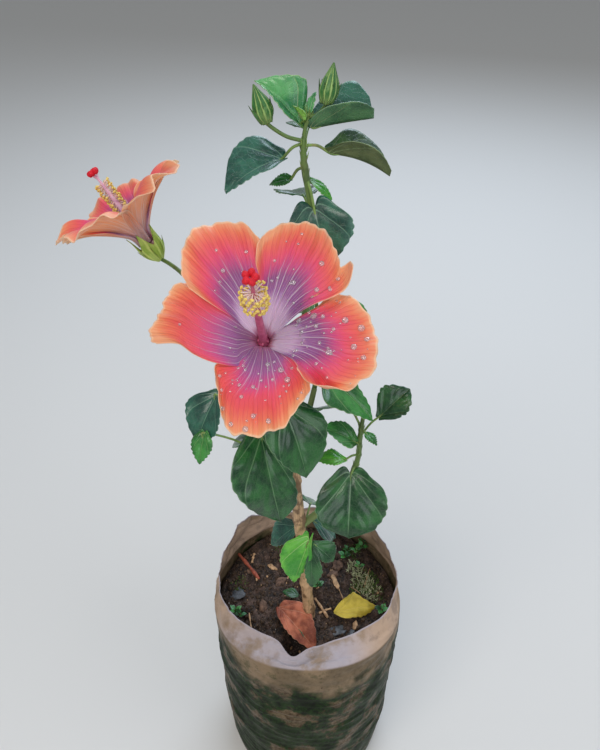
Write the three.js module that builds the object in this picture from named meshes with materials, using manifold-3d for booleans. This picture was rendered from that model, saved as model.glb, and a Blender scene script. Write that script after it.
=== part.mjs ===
// A young hibiscus shrub in flower, standing in a film grow bag filled with soil.
// Millimetres, +Z up. The origin is the middle of the bag's flat underside, +X runs to the
// viewer's right and +Y away from the viewer. The stems, boughs and leaf stalks are tapering
// limbs on curves, each leaf and petal is a thin curved blade, and each mass of leaves or
// flower is fused into one closed solid with the stem that carries it.

import * as THREE from 'three';
import { mergeVertices } from 'three/addons/utils/BufferGeometryUtils.js';
import Module from 'manifold-3d';

const wasm = await Module();
wasm.setup();

const DEGREE = Math.PI / 180;
const GAP = 0.3; // clearance between neighbouring solids
const SLIVER = 2; // cubic millimetres, the most that a cut may leave behind
const GOLDEN_TURN = 137.5; // degrees from one leaf to the next round a stem

const BAG = {
  radius: 100, // outside, at the wall
  footRadius: 96,
  height: 300, // to the middle of the fold at the front
  wall: 2,
  sides: 48,
  band: 26, // film above the body, upright behind and folded over the soil in front
  backBody: 279, // height of the body where the band stands upright
  frontPull: 8, // how far the fold is drawn in at the front
};

const SOIL = { level: 270, lump: 3.5, padRadius: 15 };

const TRUNK = {
  path: [
    [2.2, -16, 258], [2, -16, 272], [-3, -15.5, 350], [-9, -15, 440],
    [-12.5, -14, 500], [-10, -11, 570], [-5, -8, 640],
  ],
  radii: [7.4, 6.2, 5.4, 5.2, 4.8, 4.2, 3.4],
  foot: SOIL.level + GAP, // the flat cut at the soil
  sides: 10,
  steps: 26,
};

// Boughs leave the trunk's middle and are cut back to a gap from its bark.
const BOUGHS = {
  left_bough: { path: [[-10, -12, 580], [-34, 4, 606], [-64, 22, 636], [-88, 34, 652]], radii: [3, 2.4, 1.9] },
  right_bough: { path: [[-8, -15, 424], [14, -11, 446], [32, -13, 474], [38, -15, 506]], radii: [3.6, 3, 2.6] },
  back_bough: { path: [[-12, -13, 505], [-4, 8, 528], [4, 26, 556]], radii: [3.2, 2.7, 2.3] },
};

const LEAF = { thick: 1, stalk: 1.1, sink: 5, curl: 24, fold: 10 };

const BLOOM = {
  petals: 5,
  petalThick: 1.2,
  tube: 20, // from the calyx to the throat
  tubeRadius: 6.5,
  calyx: 20,
  calyxRadius: 8,
  column: 1.7, // radius of the staminal column
  stigmas: 5,
};

// Each mass has one stem. Its leaves are rows: where on the stem they leave (0 to 1), where the
// blade begins, the blade's heading and pitch in degrees, and its length, width and roll.
const MASSES = {
  top_foliage: {
    path: [
      [-5, -8, 640 + 2 * GAP], [-2, -6, 690], [-1.5, -5, 727], [-5.4, -5, 755],
      [-6, -5, 768], [-4.9, -5, 778], [-2, -5, 786],
    ],
    radii: [2.9, 2.4, 1.6],
    seed: 11,
    space: { middle: [-4, 0, 735], reach: [62, 60, 85] },
    leaves: [
      { at: 0.9, base: [-9, 0, 778], heading: 171, pitch: 49, length: 31, width: 27, roll: 30 },
      { at: 0.93, base: [1, -1, 777], heading: 10, pitch: 17, length: 34, width: 26, roll: -20 },
      { at: 0.66, base: [10, 0, 762], heading: 10, pitch: 2, length: 36, width: 24, roll: 0 },
      { at: 0.68, base: [-19, -2, 760], heading: -157, pitch: -25, length: 40, width: 34, roll: 0 },
      { at: 0.46, base: [1, -13, 731], heading: -82, pitch: -72, length: 36, width: 42, roll: 0 },
      { at: 0.55, base: [-2, 5, 743], heading: -14, pitch: -26, length: 18, width: 12, roll: 0 },
    ],
    buds: [
      { at: 0.7, base: [-26, -9, 781], tip: [-34, -7, 802], radius: 6.5 },
      { at: 0.95, base: [6, -9, 790], tip: [10, -4, 811], radius: 6.5 },
    ],
    rule: { count: 9, from: 0.12, to: 0.62, heading: 60, stalk: 18, length: 40, pitch: -12 },
  },
  left_foliage: {
    path: [[-12, -14, 498], [-22, -16, 503], [-27, -17, 508]],
    radii: [2.6, 2.2, 1.8],
    seed: 23,
    space: { middle: [-50, -20, 540], reach: [60, 60, 70] },
    leaves: [
      { at: 0.9, base: [-39, -12, 532], heading: -68, pitch: -52, length: 72, width: 58, roll: -15 },
      { at: 1, base: [-17, -38, 503], heading: 94, pitch: 70, length: 64, width: 56, roll: 0 },
      { at: 1, base: [-71, 2, 570], heading: -125, pitch: -35, length: 40, width: 34, roll: 0 },
      { at: 1, base: [-83, -22, 552], heading: -101, pitch: -50, length: 22, width: 18, roll: 0 },
    ],
    buds: [],
    rule: { count: 2, from: 0.8, to: 1, heading: 150, stalk: 30, length: 46, pitch: -20 },
  },
  right_foliage: {
    path: [[38.3, -15, 506 + GAP], [40, -15, 522], [40, -14, 545], [42, -13, 572]],
    radii: [2.4, 2, 1.5],
    seed: 37,
    space: { middle: [45, -10, 540], reach: [55, 60, 70] },
    leaves: [
      { at: 0.05, base: [35, -22, 494], heading: -93, pitch: -44, length: 52, width: 58, roll: 0 },
      { at: 0.9, base: [24, -10, 584], heading: -30, pitch: -18, length: 34, width: 22, roll: 0 },
      { at: 0.55, base: [33, -12, 548], heading: -142, pitch: -31, length: 32, width: 28, roll: 0 },
      { at: 0.35, base: [27, -13, 524], heading: -149, pitch: -13, length: 23, width: 18, roll: 0 },
      { at: 0.6, base: [55, -10, 559], heading: 6, pitch: 48, length: 36, width: 32, roll: 40 },
    ],
    buds: [],
    rule: { count: 5, from: 0.2, to: 0.95, heading: 70, stalk: 20, length: 44, pitch: -20 },
  },
  low_foliage: {
    path: [[-5.5, -15, 398], [-4.5, -21, 402], [-4, -25, 405]],
    radii: [2, 1.8, 1.6],
    seed: 41,
    space: { middle: [0, -40, 385], reach: [45, 40, 45] },
    leaves: [
      { at: 1, base: [-7, -25, 413], heading: -134, pitch: -68, length: 52, width: 32, roll: 0 },
      { at: 1, base: [3, -26, 400], heading: -60, pitch: -72, length: 48, width: 22, roll: 0 },
      { at: 1, base: [5, -24, 402], heading: -9, pitch: -20, length: 24, width: 22, roll: 20 },
    ],
    buds: [],
    rule: { count: 0, from: 0.5, to: 1, heading: 0, stalk: 16, length: 30, pitch: -30 },
  },
  low_back_foliage: {
    path: [[-6, -15, 402], [-4, -7, 408], [-2, 0, 414]],
    radii: [2, 1.8, 1.6],
    seed: 43,
    space: { middle: [0, 30, 395], reach: [60, 50, 60] },
    leaves: [
      { at: 0.9, base: [-14, -3, 410], heading: 178, pitch: -52, length: 38, width: 30, roll: 0 },
      { at: 0.9, base: [6, 0, 408], heading: 10, pitch: -52, length: 36, width: 30, roll: 0 },
    ],
    buds: [],
    rule: { count: 3, from: 0.8, to: 1, heading: 60, stalk: 22, length: 44, pitch: -25 },
  },
  back_foliage: {
    path: [[4.1, 26.3, 556.5], [8, 36, 578], [7, 42, 606], [4, 46, 634]],
    radii: [2.1, 1.8, 1.3],
    seed: 59,
    space: { middle: [4, 48, 598], reach: [66, 56, 62] },
    leaves: [],
    buds: [],
    rule: { count: 13, from: 0.08, to: 1, heading: 20, stalk: 22, length: 46, pitch: -18 },
  },
  left_spray: {
    path: [[-88.3, 34.3, 652.3], [-97, 42, 658], [-105, 50, 661], [-113, 57, 662]],
    radii: [1.7, 1.6, 1.5],
    seed: 67,
    space: { middle: [-85, 60, 640], reach: [60, 50, 60] },
    leaves: [],
    buds: [],
    rule: { count: 3, from: 0.05, to: 0.5, heading: 20, stalk: 18, length: 38, pitch: -30 },
    bloom: {
      heading: 145, rise: 42, throat: [-129, 68, 679], length: 62, opening: 56, width: 46, turn: 10,
      columnLength: 50, cloud: 6,
    },
  },
  centre_bloom: {
    path: [[-9, -11, 592], [-20, -26, 602], [-27.5, -40, 622], [-28.9, -49, 649]],
    radii: [2.2, 1.9, 1.9],
    seed: 71,
    space: { middle: [-30, -50, 650], reach: [40, 40, 60] },
    leaves: [],
    buds: [],
    rule: { count: 0, from: 0, to: 1, heading: 0, stalk: 20, length: 40, pitch: -20 },
    bloom: {
      heading: -92, rise: 56, throat: [-29.5, -68, 676], length: 69, opening: 70, width: 56, turn: 3,
      columnLength: 66, cloud: 7.5,
    },
  },
};

const COLOURS = {
  film: '#b3a48f', soil: '#3a2c25', bark: '#a98a66', shoot: '#6f8f45', leaf: '#2f6b3c', petal: '#f0705a',
};

// Points, directions and numbers

const point = ([x, y, z]) => new THREE.Vector3(x, y, z);

function direction(heading, rise) {
  const flat = Math.cos(rise * DEGREE);
  return new THREE.Vector3(
    flat * Math.cos(heading * DEGREE), flat * Math.sin(heading * DEGREE), Math.sin(rise * DEGREE),
  );
}

function seededNumbers(seed) {
  let state = seed >>> 0;
  return () => {
    state = (state + 0x6d2b79f5) >>> 0;
    let mixed = state;
    mixed = Math.imul(mixed ^ (mixed >>> 15), mixed | 1);
    mixed ^= mixed + Math.imul(mixed ^ (mixed >>> 7), mixed | 61);
    return ((mixed ^ (mixed >>> 14)) >>> 0) / 4294967296;
  };
}

// The value at t along a list that is spaced evenly from 0 to 1.
function along(values, t) {
  const place = Math.min(Math.max(t, 0), 1) * (values.length - 1);
  const low = Math.min(Math.floor(place), values.length - 2);
  return THREE.MathUtils.lerp(values[low], values[low + 1], place - low);
}

// A smooth step up from 0 at low to 1 at high.
const step = (value, low, high) => THREE.MathUtils.smoothstep(value, low, high);

// A bump of height 1 round an angle, for a width in degrees.
function bump(angle, centre, width) {
  const away = Math.abs(((angle - centre + 540) % 360) - 180);
  return Math.exp(-((away / width) ** 2));
}

// Closed meshes and solids

function closed(geometry) {
  const bare = geometry.clone();
  bare.deleteAttribute('normal');
  bare.deleteAttribute('uv');
  const merged = mergeVertices(bare, 1e-4);
  const { array } = merged.getIndex();
  const kept = [];
  for (let i = 0; i < array.length; i += 3) {
    const [a, b, c] = [array[i], array[i + 1], array[i + 2]];
    if (a !== b && b !== c && c !== a) kept.push(a, b, c);
  }
  merged.setIndex(kept);
  if (volume(merged) < 0) {
    for (let i = 0; i < kept.length; i += 3) [kept[i], kept[i + 1]] = [kept[i + 1], kept[i]];
    merged.setIndex(kept);
  }
  return merged;
}

function volume(geometry) {
  const places = geometry.getAttribute('position');
  const { array } = geometry.getIndex();
  const corner = [0, 1, 2].map(() => new THREE.Vector3());
  let sum = 0;
  for (let i = 0; i < array.length; i += 3) {
    corner.forEach((c, k) => c.fromBufferAttribute(places, array[i + k]));
    sum += corner[0].dot(corner[1].clone().cross(corner[2]));
  }
  return sum / 6;
}

function solid(geometry) {
  const body = closed(geometry);
  return new wasm.Manifold(new wasm.Mesh({
    numProp: 3,
    vertProperties: Float32Array.from(body.getAttribute('position').array),
    triVerts: Uint32Array.from(body.getIndex().array),
  }));
}

function geometryOf(body) {
  const { vertProperties, triVerts } = body.getMesh();
  const geometry = new THREE.BufferGeometry();
  geometry.setAttribute('position', new THREE.BufferAttribute(vertProperties, 3));
  geometry.setIndex(new THREE.BufferAttribute(triVerts, 1));
  return geometry;
}

const fused = (bodies) => bodies.reduce((whole, body) => whole.add(body));

// The one piece that a cut leaves, without the slivers beyond the cut.
function largest(body) {
  const [kept, ...slivers] = body.decompose().sort((a, b) => b.volume() - a.volume());
  if (slivers.some((sliver) => sliver.volume() > SLIVER)) throw new Error('a cut took off a real piece');
  return kept;
}

// Moves each vertex of a box, cylinder or lathe to the place that shape(x, y, z) gives.
function shaped(geometry, shape) {
  const places = geometry.getAttribute('position');
  for (let i = 0; i < places.count; i += 1) {
    const to = shape(places.getX(i), places.getY(i), places.getZ(i));
    places.setXYZ(i, to.x, to.y, to.z);
  }
  return geometry;
}

// Limbs: a cylinder bent onto a curve, with its radius read along a list

const curveOf = (path) => new THREE.CatmullRomCurve3(path.map(point), false, 'catmullrom', 0.5);

function limb(path, radii, sides, steps, extra = 0) {
  const curve = curveOf(path);
  const cylinder = new THREE.CylinderGeometry(1, 1, 1, sides, steps);
  return solid(shaped(cylinder, (x, y, z) => {
    const t = Math.min(Math.max(y + 0.5, 0), 1);
    const ahead = curve.getTangent(t);
    const level = Math.abs(ahead.z) > 0.9 ? new THREE.Vector3(0, 1, 0) : new THREE.Vector3(0, 0, 1);
    const side = new THREE.Vector3().crossVectors(ahead, level).normalize();
    const up = new THREE.Vector3().crossVectors(side, ahead);
    const radius = along(radii, t) + extra;
    return curve.getPoint(t)
      .addScaledVector(ahead, (2 * t - 1) * extra)
      .addScaledVector(side, x * radius)
      .addScaledVector(up, z * radius);
  }));
}

// Leaves

// Half of the blade's width at s along it, as a share of the greatest half width.
function leafOutline(s) {
  const rounded = Math.sin(Math.PI * Math.min(1, 0.12 + s ** 0.72 * 0.88)) ** 0.8;
  return Math.max(rounded, 0.06);
}

// A point of the blade: s runs from its base to its tip and x across it from -1 to 1.
function bladePoint(leaf, s, x, lift = 0) {
  const ahead = direction(leaf.heading, leaf.pitch);
  const side = new THREE.Vector3().crossVectors(ahead, new THREE.Vector3(0, 0, 1)).normalize();
  const up = new THREE.Vector3().crossVectors(side, ahead);
  side.applyAxisAngle(ahead, leaf.roll * DEGREE);
  up.applyAxisAngle(ahead, leaf.roll * DEGREE);
  const droop = (LEAF.curl * DEGREE * s) / 2;
  const half = (leaf.width / 2) * leafOutline(s) * x;
  const fold = LEAF.fold * DEGREE;
  return point(leaf.base)
    .addScaledVector(ahead, leaf.length * s * Math.cos(droop))
    .addScaledVector(side, half * Math.cos(fold))
    .addScaledVector(up, Math.abs(half) * Math.sin(fold) - leaf.length * s * Math.sin(droop) + lift);
}

function blade(leaf) {
  const box = new THREE.BoxGeometry(2, 1, 1, 2, 5, 1);
  return solid(shaped(box, (x, y, z) => bladePoint(leaf, y + 0.5, x, z * LEAF.thick)));
}

function stalk(leaf, curve) {
  const foot = curve.getPoint(leaf.at);
  const sunk = bladePoint(leaf, LEAF.sink / leaf.length, 0);
  const base = point(leaf.base);
  const middle = foot.clone().lerp(base, 0.5);
  middle.z += foot.distanceTo(base) * 0.12;
  return limb([foot, middle, base, sunk].map((p) => p.toArray()), [LEAF.stalk, LEAF.stalk * 0.8], 3, 5);
}

// The leaves that no picture places: each a golden turn round the stem from the last.
function leavesByRule(mass) {
  const chance = seededNumbers(mass.seed);
  const curve = curveOf(mass.path);
  const { count, from, to, heading, stalk: reach, length, pitch } = mass.rule;
  return Array.from({ length: count }, (_, i) => {
    const at = from + ((to - from) * (i + 0.5)) / count;
    const turn = heading + GOLDEN_TURN * i + (chance() - 0.5) * 24;
    const size = length * (0.8 + 0.4 * chance());
    const way = direction(turn, 25 + 20 * chance());
    const base = curve.getPoint(at).addScaledVector(way, reach * (0.8 + 0.5 * chance()));
    return {
      at, base: base.toArray(), heading: turn, pitch: pitch + (chance() - 0.5) * 30,
      length: size, width: size * 0.78, roll: (chance() - 0.5) * 30,
    };
  });
}

// Points of a blade that are tested against a mass's space and the other limbs and flowers.
const TESTED = [[0, 0], [0.25, 0.9], [0.25, -0.9], [0.5, 0], [0.5, 0.9], [0.5, -0.9], [0.8, 0.7], [0.8, -0.7], [1, 0]];

const bladeTests = (leaf) => TESTED.map(([s, x]) => bladePoint(leaf, s, x));

function within(space, place) {
  const away = place.clone().sub(point(space.middle)).divide(point(space.reach));
  return away.length() <= 1;
}

const clear = (places, guards) => places.every((p) => guards.every((g) => p.distanceTo(g.place) > g.room));

function bud(row, curve) {
  const foot = curve.getPoint(row.at);
  const base = point(row.base);
  const tip = point(row.tip);
  const middle = foot.clone().lerp(base, 0.5);
  middle.z -= 2;
  const neck = base.clone().lerp(tip, 0.2);
  const radii = [0.3, 0.78, 1, 0.82, 0.45, 0.12].map((share) => share * row.radius);
  return [
    limb([foot, middle, base, neck].map((p) => p.toArray()), [1.2, 1.1], 5, 6),
    limb([base, neck, tip].map((p) => p.toArray()), radii, 8, 5),
  ];
}

// Flowers

function bloomFrame(bloom) {
  const out = direction(bloom.heading, bloom.rise);
  const up = new THREE.Vector3(0, 0, 1).addScaledVector(out, -out.z).normalize();
  const side = new THREE.Vector3().crossVectors(up, out);
  return { out, up, side, throat: point(bloom.throat) };
}

const petalOutline = (s) => along([0.1, 0.34, 0.66, 0.9, 1, 0.96, 0.68], s);

// A point of petal number k: it leaves the throat along the column and opens outwards.
function petalPoint(bloom, k, s, x, lift = 0) {
  const { out, up, side, throat } = bloomFrame(bloom);
  const turn = (bloom.turn + ((k - 0.5) * 360) / BLOOM.petals) * DEGREE;
  const away = up.clone().multiplyScalar(Math.cos(turn)).addScaledVector(side, -Math.sin(turn));
  const across = new THREE.Vector3().crossVectors(out, away);
  const open = bloom.opening * DEGREE * (0.62 + 0.38 * step(s, 0, 0.4)) + 12 * DEGREE * step(s, 0.6, 1);
  const reach = bloom.length * s * (1 - 0.1 * x * x * s);
  const half = (bloom.width / 2) * petalOutline(s) * x;
  return throat.clone()
    .addScaledVector(away, 3 + reach * Math.sin(open))
    .addScaledVector(out, reach * Math.cos(open) + Math.abs(half) * 0.12 + x * 2.4 * s + lift)
    .addScaledVector(across, half);
}

function petal(bloom, k) {
  const box = new THREE.BoxGeometry(2, 1, 1, 4, 6, 1);
  return solid(shaped(box, (x, y, z) => petalPoint(bloom, k, y + 0.5, x, z * BLOOM.petalThick)));
}

function flower(bloom) {
  const { out, up, side, throat } = bloomFrame(bloom);
  const place = (far) => throat.clone().addScaledVector(out, far).toArray();
  const petals = Array.from({ length: BLOOM.petals }, (_, k) => petal(bloom, k));
  const tube = limb([place(-BLOOM.tube), place(-BLOOM.tube / 2), place(1)], [4, 5.2, BLOOM.tubeRadius], 10, 3);
  const calyx = limb(
    [place(-BLOOM.tube - BLOOM.calyx * 0.8), place(-BLOOM.tube), place(-BLOOM.tube + BLOOM.calyx * 0.4)],
    [2.4, 6, BLOOM.calyxRadius, BLOOM.calyxRadius * 0.9], 10, 5,
  );
  const end = bloom.columnLength;
  const column = limb([place(-4), place(end / 2), place(end)], [BLOOM.column * 1.4, BLOOM.column], 8, 4);
  const cloud = limb(
    [place(end * 0.5), place(end * 0.7), place(end * 0.92)],
    [0.55, 0.95, 1, 0.95, 0.5].map((share) => share * bloom.cloud), 10, 6,
  );
  const tips = Array.from({ length: BLOOM.stigmas }, (_, k) => {
    const turn = (k / BLOOM.stigmas) * 2 * Math.PI;
    const spread = up.clone().multiplyScalar(Math.cos(turn)).addScaledVector(side, Math.sin(turn));
    const pad = point(place(end + 4)).addScaledVector(spread, 2.6);
    const ball = shaped(new THREE.SphereGeometry(1.9, 6, 4), (x, y, z) => new THREE.Vector3(x, y, z).add(pad));
    return fused([limb([place(end - 2), pad.toArray()], [0.8, 0.6], 4, 1), solid(ball)]);
  });
  return [...petals, tube, calyx, column, cloud, ...tips];
}

// The bag: one lathe turn whose rings are then moved to the film's own shape

// The film's height at a place round the bag before its top band begins.
function bodyTop(angle) {
  const front = bump(angle, -90, 62);
  return THREE.MathUtils.lerp(BAG.backBody, BAG.height + 4, front);
}

function bandEnd(angle, radius) {
  const lean = (4 + 92 * bump(angle, -90, 58)) * DEGREE;
  const peaks = 22 * bump(angle, 137, 14) + 11 * bump(angle, 41, 16) - 12 * bump(angle, -102, 9);
  const width = BAG.band + peaks;
  return [radius - width * Math.sin(lean), bodyTop(angle) + width * Math.cos(lean)];
}

// The wall's outer rings below the fold, as radius and height.
const WALL_RINGS = [[BAG.footRadius, 5], [98, 30], [BAG.radius, 110], [BAG.radius, 200]];

const drawnRadius = (angle) => BAG.radius - BAG.frontPull * bump(angle, -90, 50);

// Moves each ring of a lathe to the radius and height that place(angle, ring) gives.
function turned(profile, place) {
  const lathe = new THREE.LatheGeometry(profile.map(([r, z]) => new THREE.Vector2(r, z)), BAG.sides);
  const places = lathe.getAttribute('position');
  for (let i = 0; i < places.count; i += 1) {
    const turn = Math.floor(i / profile.length) % BAG.sides;
    const angle = (turn / BAG.sides) * 360 - 180;
    const { r, z, x = 0, y = 0 } = place(angle, i % profile.length, turn);
    places.setXYZ(i, r * Math.cos(angle * DEGREE) + x, r * Math.sin(angle * DEGREE) + y, z);
  }
  return solid(lathe);
}

function growBag() {
  const { wall, footRadius } = BAG;
  const outer = [[0, 0], [footRadius - 3, 0], ...WALL_RINGS];
  const inner = [...WALL_RINGS.slice(1).reverse().map(([r, z]) => [r - wall, z]), [footRadius - wall - 3, wall], [0, wall]];
  const top = outer.length;
  const fold = Array.from({ length: 4 }, (_, i) => [BAG.radius - i, BAG.height + i]);
  const profile = [...outer, ...fold, ...inner];
  return turned(profile, (angle, ring) => {
    const drawn = drawnRadius(angle);
    const [endRadius, endHeight] = bandEnd(angle, drawn);
    if (ring === top) return { r: drawn, z: bodyTop(angle) };
    if (ring === top + 1) return { r: endRadius, z: endHeight };
    if (ring === top + 2) return { r: endRadius - wall * 0.7, z: endHeight - wall * 0.7 };
    if (ring === top + 3) return { r: drawn - wall, z: bodyTop(angle) - wall };
    return { r: profile[ring][0], z: profile[ring][1] };
  });
}

// The inside of the wall at a height above the last of its straight rings.
function innerRadius(angle, z) {
  const [radius, height] = WALL_RINGS.at(-1);
  const share = (z - height) / (bodyTop(angle) - BAG.wall - height);
  return THREE.MathUtils.lerp(radius, drawnRadius(angle), share) - BAG.wall;
}

function soil() {
  const chance = seededNumbers(5);
  const inset = BAG.wall + 2 * GAP;
  const rim = SOIL.level - 4;
  const sides = WALL_RINGS.slice(1).map(([r, z]) => [r - inset, z]);
  const foot = [BAG.footRadius - 3 - inset, BAG.wall + GAP];
  const top = [74, 52, 30, SOIL.padRadius, 0].map((r) => [r, SOIL.level]);
  const profile = [[0, foot[1]], foot, ...sides, [BAG.radius, rim], ...top];
  const rimRing = 2 + sides.length;
  const lumps = Array.from({ length: profile.length * BAG.sides }, () => (chance() - 0.5) * 2 * SOIL.lump);
  return turned(profile, (angle, ring, turn) => {
    const [r, z] = profile[ring];
    if (ring === rimRing) return { r: innerRadius(angle, rim) - 2 * GAP, z };
    const lumpy = ring > rimRing && ring <= rimRing + 3;
    const follows = [0, 0, 0.6, 1, 1][ring - rimRing - 1] ?? 0; // the pad lies under the trunk
    const [x, y] = TRUNK.path[1].map((value) => value * follows);
    return { r, z: z + (lumpy ? lumps[turn * profile.length + ring] : 0), x, y };
  });
}

// Putting the plant together

const plant = new THREE.Group();

function addNode(name, body, colour, roughness) {
  const material = new THREE.MeshStandardMaterial({ color: colour, roughness, metalness: 0 });
  const mesh = new THREE.Mesh(geometryOf(body), material);
  mesh.name = name;
  plant.add(mesh);
}

// A limb with its ends, or the space that its neighbours leave round it.
const trunkLimb = (extra) => limb(TRUNK.path, TRUNK.radii, TRUNK.sides, TRUNK.steps, extra);
const boughLimb = (bough, extra) => limb(bough.path, bough.radii, 8, 10, extra);
const trunkRoom = trunkLimb(GAP * 1.3);
const boughRoom = fused(Object.values(BOUGHS).map((bough) => boughLimb(bough, GAP * 1.3)));

// What a leaf placed by the rule keeps away from: every limb, placed leaf and petal.
function guardsAlong(owner, path, room) {
  const curve = curveOf(path);
  return Array.from({ length: 25 }, (_, i) => ({ owner, place: curve.getPoint(i / 24), room }));
}

const guards = guardsAlong('main_stem', TRUNK.path, 11);
for (const [name, bough] of Object.entries(BOUGHS)) guards.push(...guardsAlong(name, bough.path, 9));
for (const [name, mass] of Object.entries(MASSES)) {
  guards.push(...guardsAlong(name, mass.path, 8));
  for (const leaf of mass.leaves) guards.push(...bladeTests(leaf).map((place) => ({ owner: name, place, room: 12 })));
  if (!mass.bloom) continue;
  for (let k = 0; k < BLOOM.petals; k += 1) {
    for (const [s, x] of [[0.15, 0], [0.4, 0], [0.65, 0], [0.65, 0.8], [0.65, -0.8], [0.92, 0], [0.92, 0.6], [0.92, -0.6]]) {
      guards.push({ owner: name, place: petalPoint(mass.bloom, k, s, x), room: 17 });
    }
  }
}

addNode('grow_bag', growBag(), COLOURS.film, 0.5);
addNode('soil', soil(), COLOURS.soil, 0.95);
addNode('main_stem', trunkLimb(0).trimByPlane([0, 0, 1], TRUNK.foot), COLOURS.bark, 0.8);
for (const [name, bough] of Object.entries(BOUGHS)) {
  addNode(name, largest(boughLimb(bough, 0).subtract(trunkRoom)), COLOURS.shoot, 0.7);
}
for (const [name, mass] of Object.entries(MASSES)) {
  const curve = curveOf(mass.path);
  const grown = [];
  for (const leaf of leavesByRule(mass)) {
    const tests = bladeTests(leaf);
    const others = guards.filter((g) => g.owner !== name);
    if (!tests.every((p) => within(mass.space, p)) || !clear(tests, others)) continue;
    grown.push(leaf);
    guards.push(...tests.map((place) => ({ owner: name, place, room: 12 })));
  }
  const parts = [limb(mass.path, mass.radii, 6, 14)];
  for (const leaf of [...mass.leaves, ...grown]) parts.push(stalk(leaf, curve), blade(leaf));
  for (const row of mass.buds) parts.push(...bud(row, curve));
  if (mass.bloom) parts.push(...flower(mass.bloom));
  const cut = largest(fused(parts).subtract(trunkRoom).subtract(boughRoom));
  addNode(name, cut, mass.bloom ? COLOURS.petal : COLOURS.leaf, 0.45);
}

export default plant;
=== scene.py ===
"""A young hibiscus in flower in a film grow bag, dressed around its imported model.

Sizes are millimetres until a mesh is made, in the frame of the model: +Z up, +X to the
viewer's right, +Y away from the viewer, origin in the middle of the bag's flat underside.
"""

from __future__ import annotations

import logging
import math
from dataclasses import dataclass, field
from enum import Enum
from functools import cache, partial
from typing import Callable, Iterator, Sequence

import bpy
import numpy as np
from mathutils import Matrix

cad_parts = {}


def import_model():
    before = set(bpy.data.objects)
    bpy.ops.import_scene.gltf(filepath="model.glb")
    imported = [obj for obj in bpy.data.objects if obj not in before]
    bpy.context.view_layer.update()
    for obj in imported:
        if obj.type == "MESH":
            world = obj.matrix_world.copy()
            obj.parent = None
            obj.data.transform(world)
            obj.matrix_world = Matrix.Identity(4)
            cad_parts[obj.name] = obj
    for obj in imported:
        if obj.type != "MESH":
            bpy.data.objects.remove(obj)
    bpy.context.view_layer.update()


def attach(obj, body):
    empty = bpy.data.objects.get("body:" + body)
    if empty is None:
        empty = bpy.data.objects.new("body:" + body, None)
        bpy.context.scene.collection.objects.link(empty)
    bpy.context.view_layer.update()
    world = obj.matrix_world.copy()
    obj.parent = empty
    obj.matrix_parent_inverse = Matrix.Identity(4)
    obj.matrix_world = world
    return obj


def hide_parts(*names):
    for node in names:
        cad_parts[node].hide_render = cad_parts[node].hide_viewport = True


log = logging.getLogger("hibiscus")

Array = np.ndarray
Spot = tuple[float, float, float]
Flat = tuple[float, float]

MM = 0.001
UP = np.array([0.0, 0.0, 1.0])
TURN = 2 * math.pi
BODY = "root"
BLADE = "blade"  # the pattern coordinates of leaves, petals and limbs
GOLDEN_TURN = 137.5  # degrees from one leaf or anther to the next
WORD = 0xFFFFFFFF  # the greatest number of 32 bits


# Numbers, directions and curves

def direction(heading: float, rise: float) -> Array:
    """Gives the unit direction at a heading round Z and a rise above level, in degrees."""
    h, r = math.radians(heading), math.radians(rise)
    return np.array([math.cos(r) * math.cos(h), math.cos(r) * math.sin(h), math.sin(r)])


def unit(way: Array) -> Array:
    """Scales each vector to length one."""
    return way / np.maximum(np.linalg.norm(way, axis=-1, keepdims=True), 1e-12)


def turned(first: Array, second: Array, angle: float) -> Array:
    """Turns the first direction towards the second by an angle in degrees."""
    a = math.radians(angle)
    return first * math.cos(a) + second * math.sin(a)


def shares(count: int) -> Array:
    """Gives evenly spaced numbers from 0 to 1."""
    return np.linspace(0, 1, count)


def step(value: Array, low: float, high: float) -> Array:
    """Rises smoothly from 0 at low to 1 at high."""
    t = np.clip((np.asarray(value, float) - low) / (high - low), 0, 1)
    return t * t * (3 - 2 * t)


def peak(away: Array, width: float) -> Array:
    """Gives a rounded peak of height 1 where away is 0, for a width in the same unit."""
    return np.exp(-((away / width) ** 2))


def bump(angle: Array, centre: float, width: float) -> Array:
    """Gives a bump of height 1 round an angle, for a width in degrees."""
    return peak(np.abs((np.asarray(angle, float) - centre + 540) % 360 - 180), width)


def smooth_row(values: Sequence, t: Array) -> Array:
    """Reads evenly spaced values, numbers or points, along a smooth curve.

    Args:
        values: the values from t = 0 to t = 1.
        t: where to read.

    Returns:
        The values at t, on the same curve as the model's limbs.
    """
    rows = np.asarray(values, float)
    padded = np.concatenate([[2 * rows[0] - rows[1]], rows, [2 * rows[-1] - rows[-2]]])
    place = np.clip(np.asarray(t, float), 0, 1) * (len(rows) - 1)
    low = np.minimum(place.astype(int), len(rows) - 2)
    u = place - low
    if rows.ndim > 1:
        u = u[..., None]
    a, b, c, d = (padded[low + k] for k in range(4))
    return b + 0.5 * u * (c - a + u * (2 * a - 5 * b + 4 * c - d + u * (3 * (b - c) + d - a)))


def even_path(points: Sequence, t: Array) -> Array:
    """Reads a smooth curve through uneven points.

    Args:
        points: the curve's points.
        t: where to read, as shares of its length.

    Returns:
        The points at t.
    """
    fine = smooth_row(points, shares(24 * len(points)))
    length = np.concatenate([[0], np.cumsum(np.linalg.norm(np.diff(fine, axis=0), axis=1))])
    wanted = np.clip(t, 0, 1) * length[-1]
    return np.stack([np.interp(wanted, length, fine[:, k]) for k in range(fine.shape[1])], -1)


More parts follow.
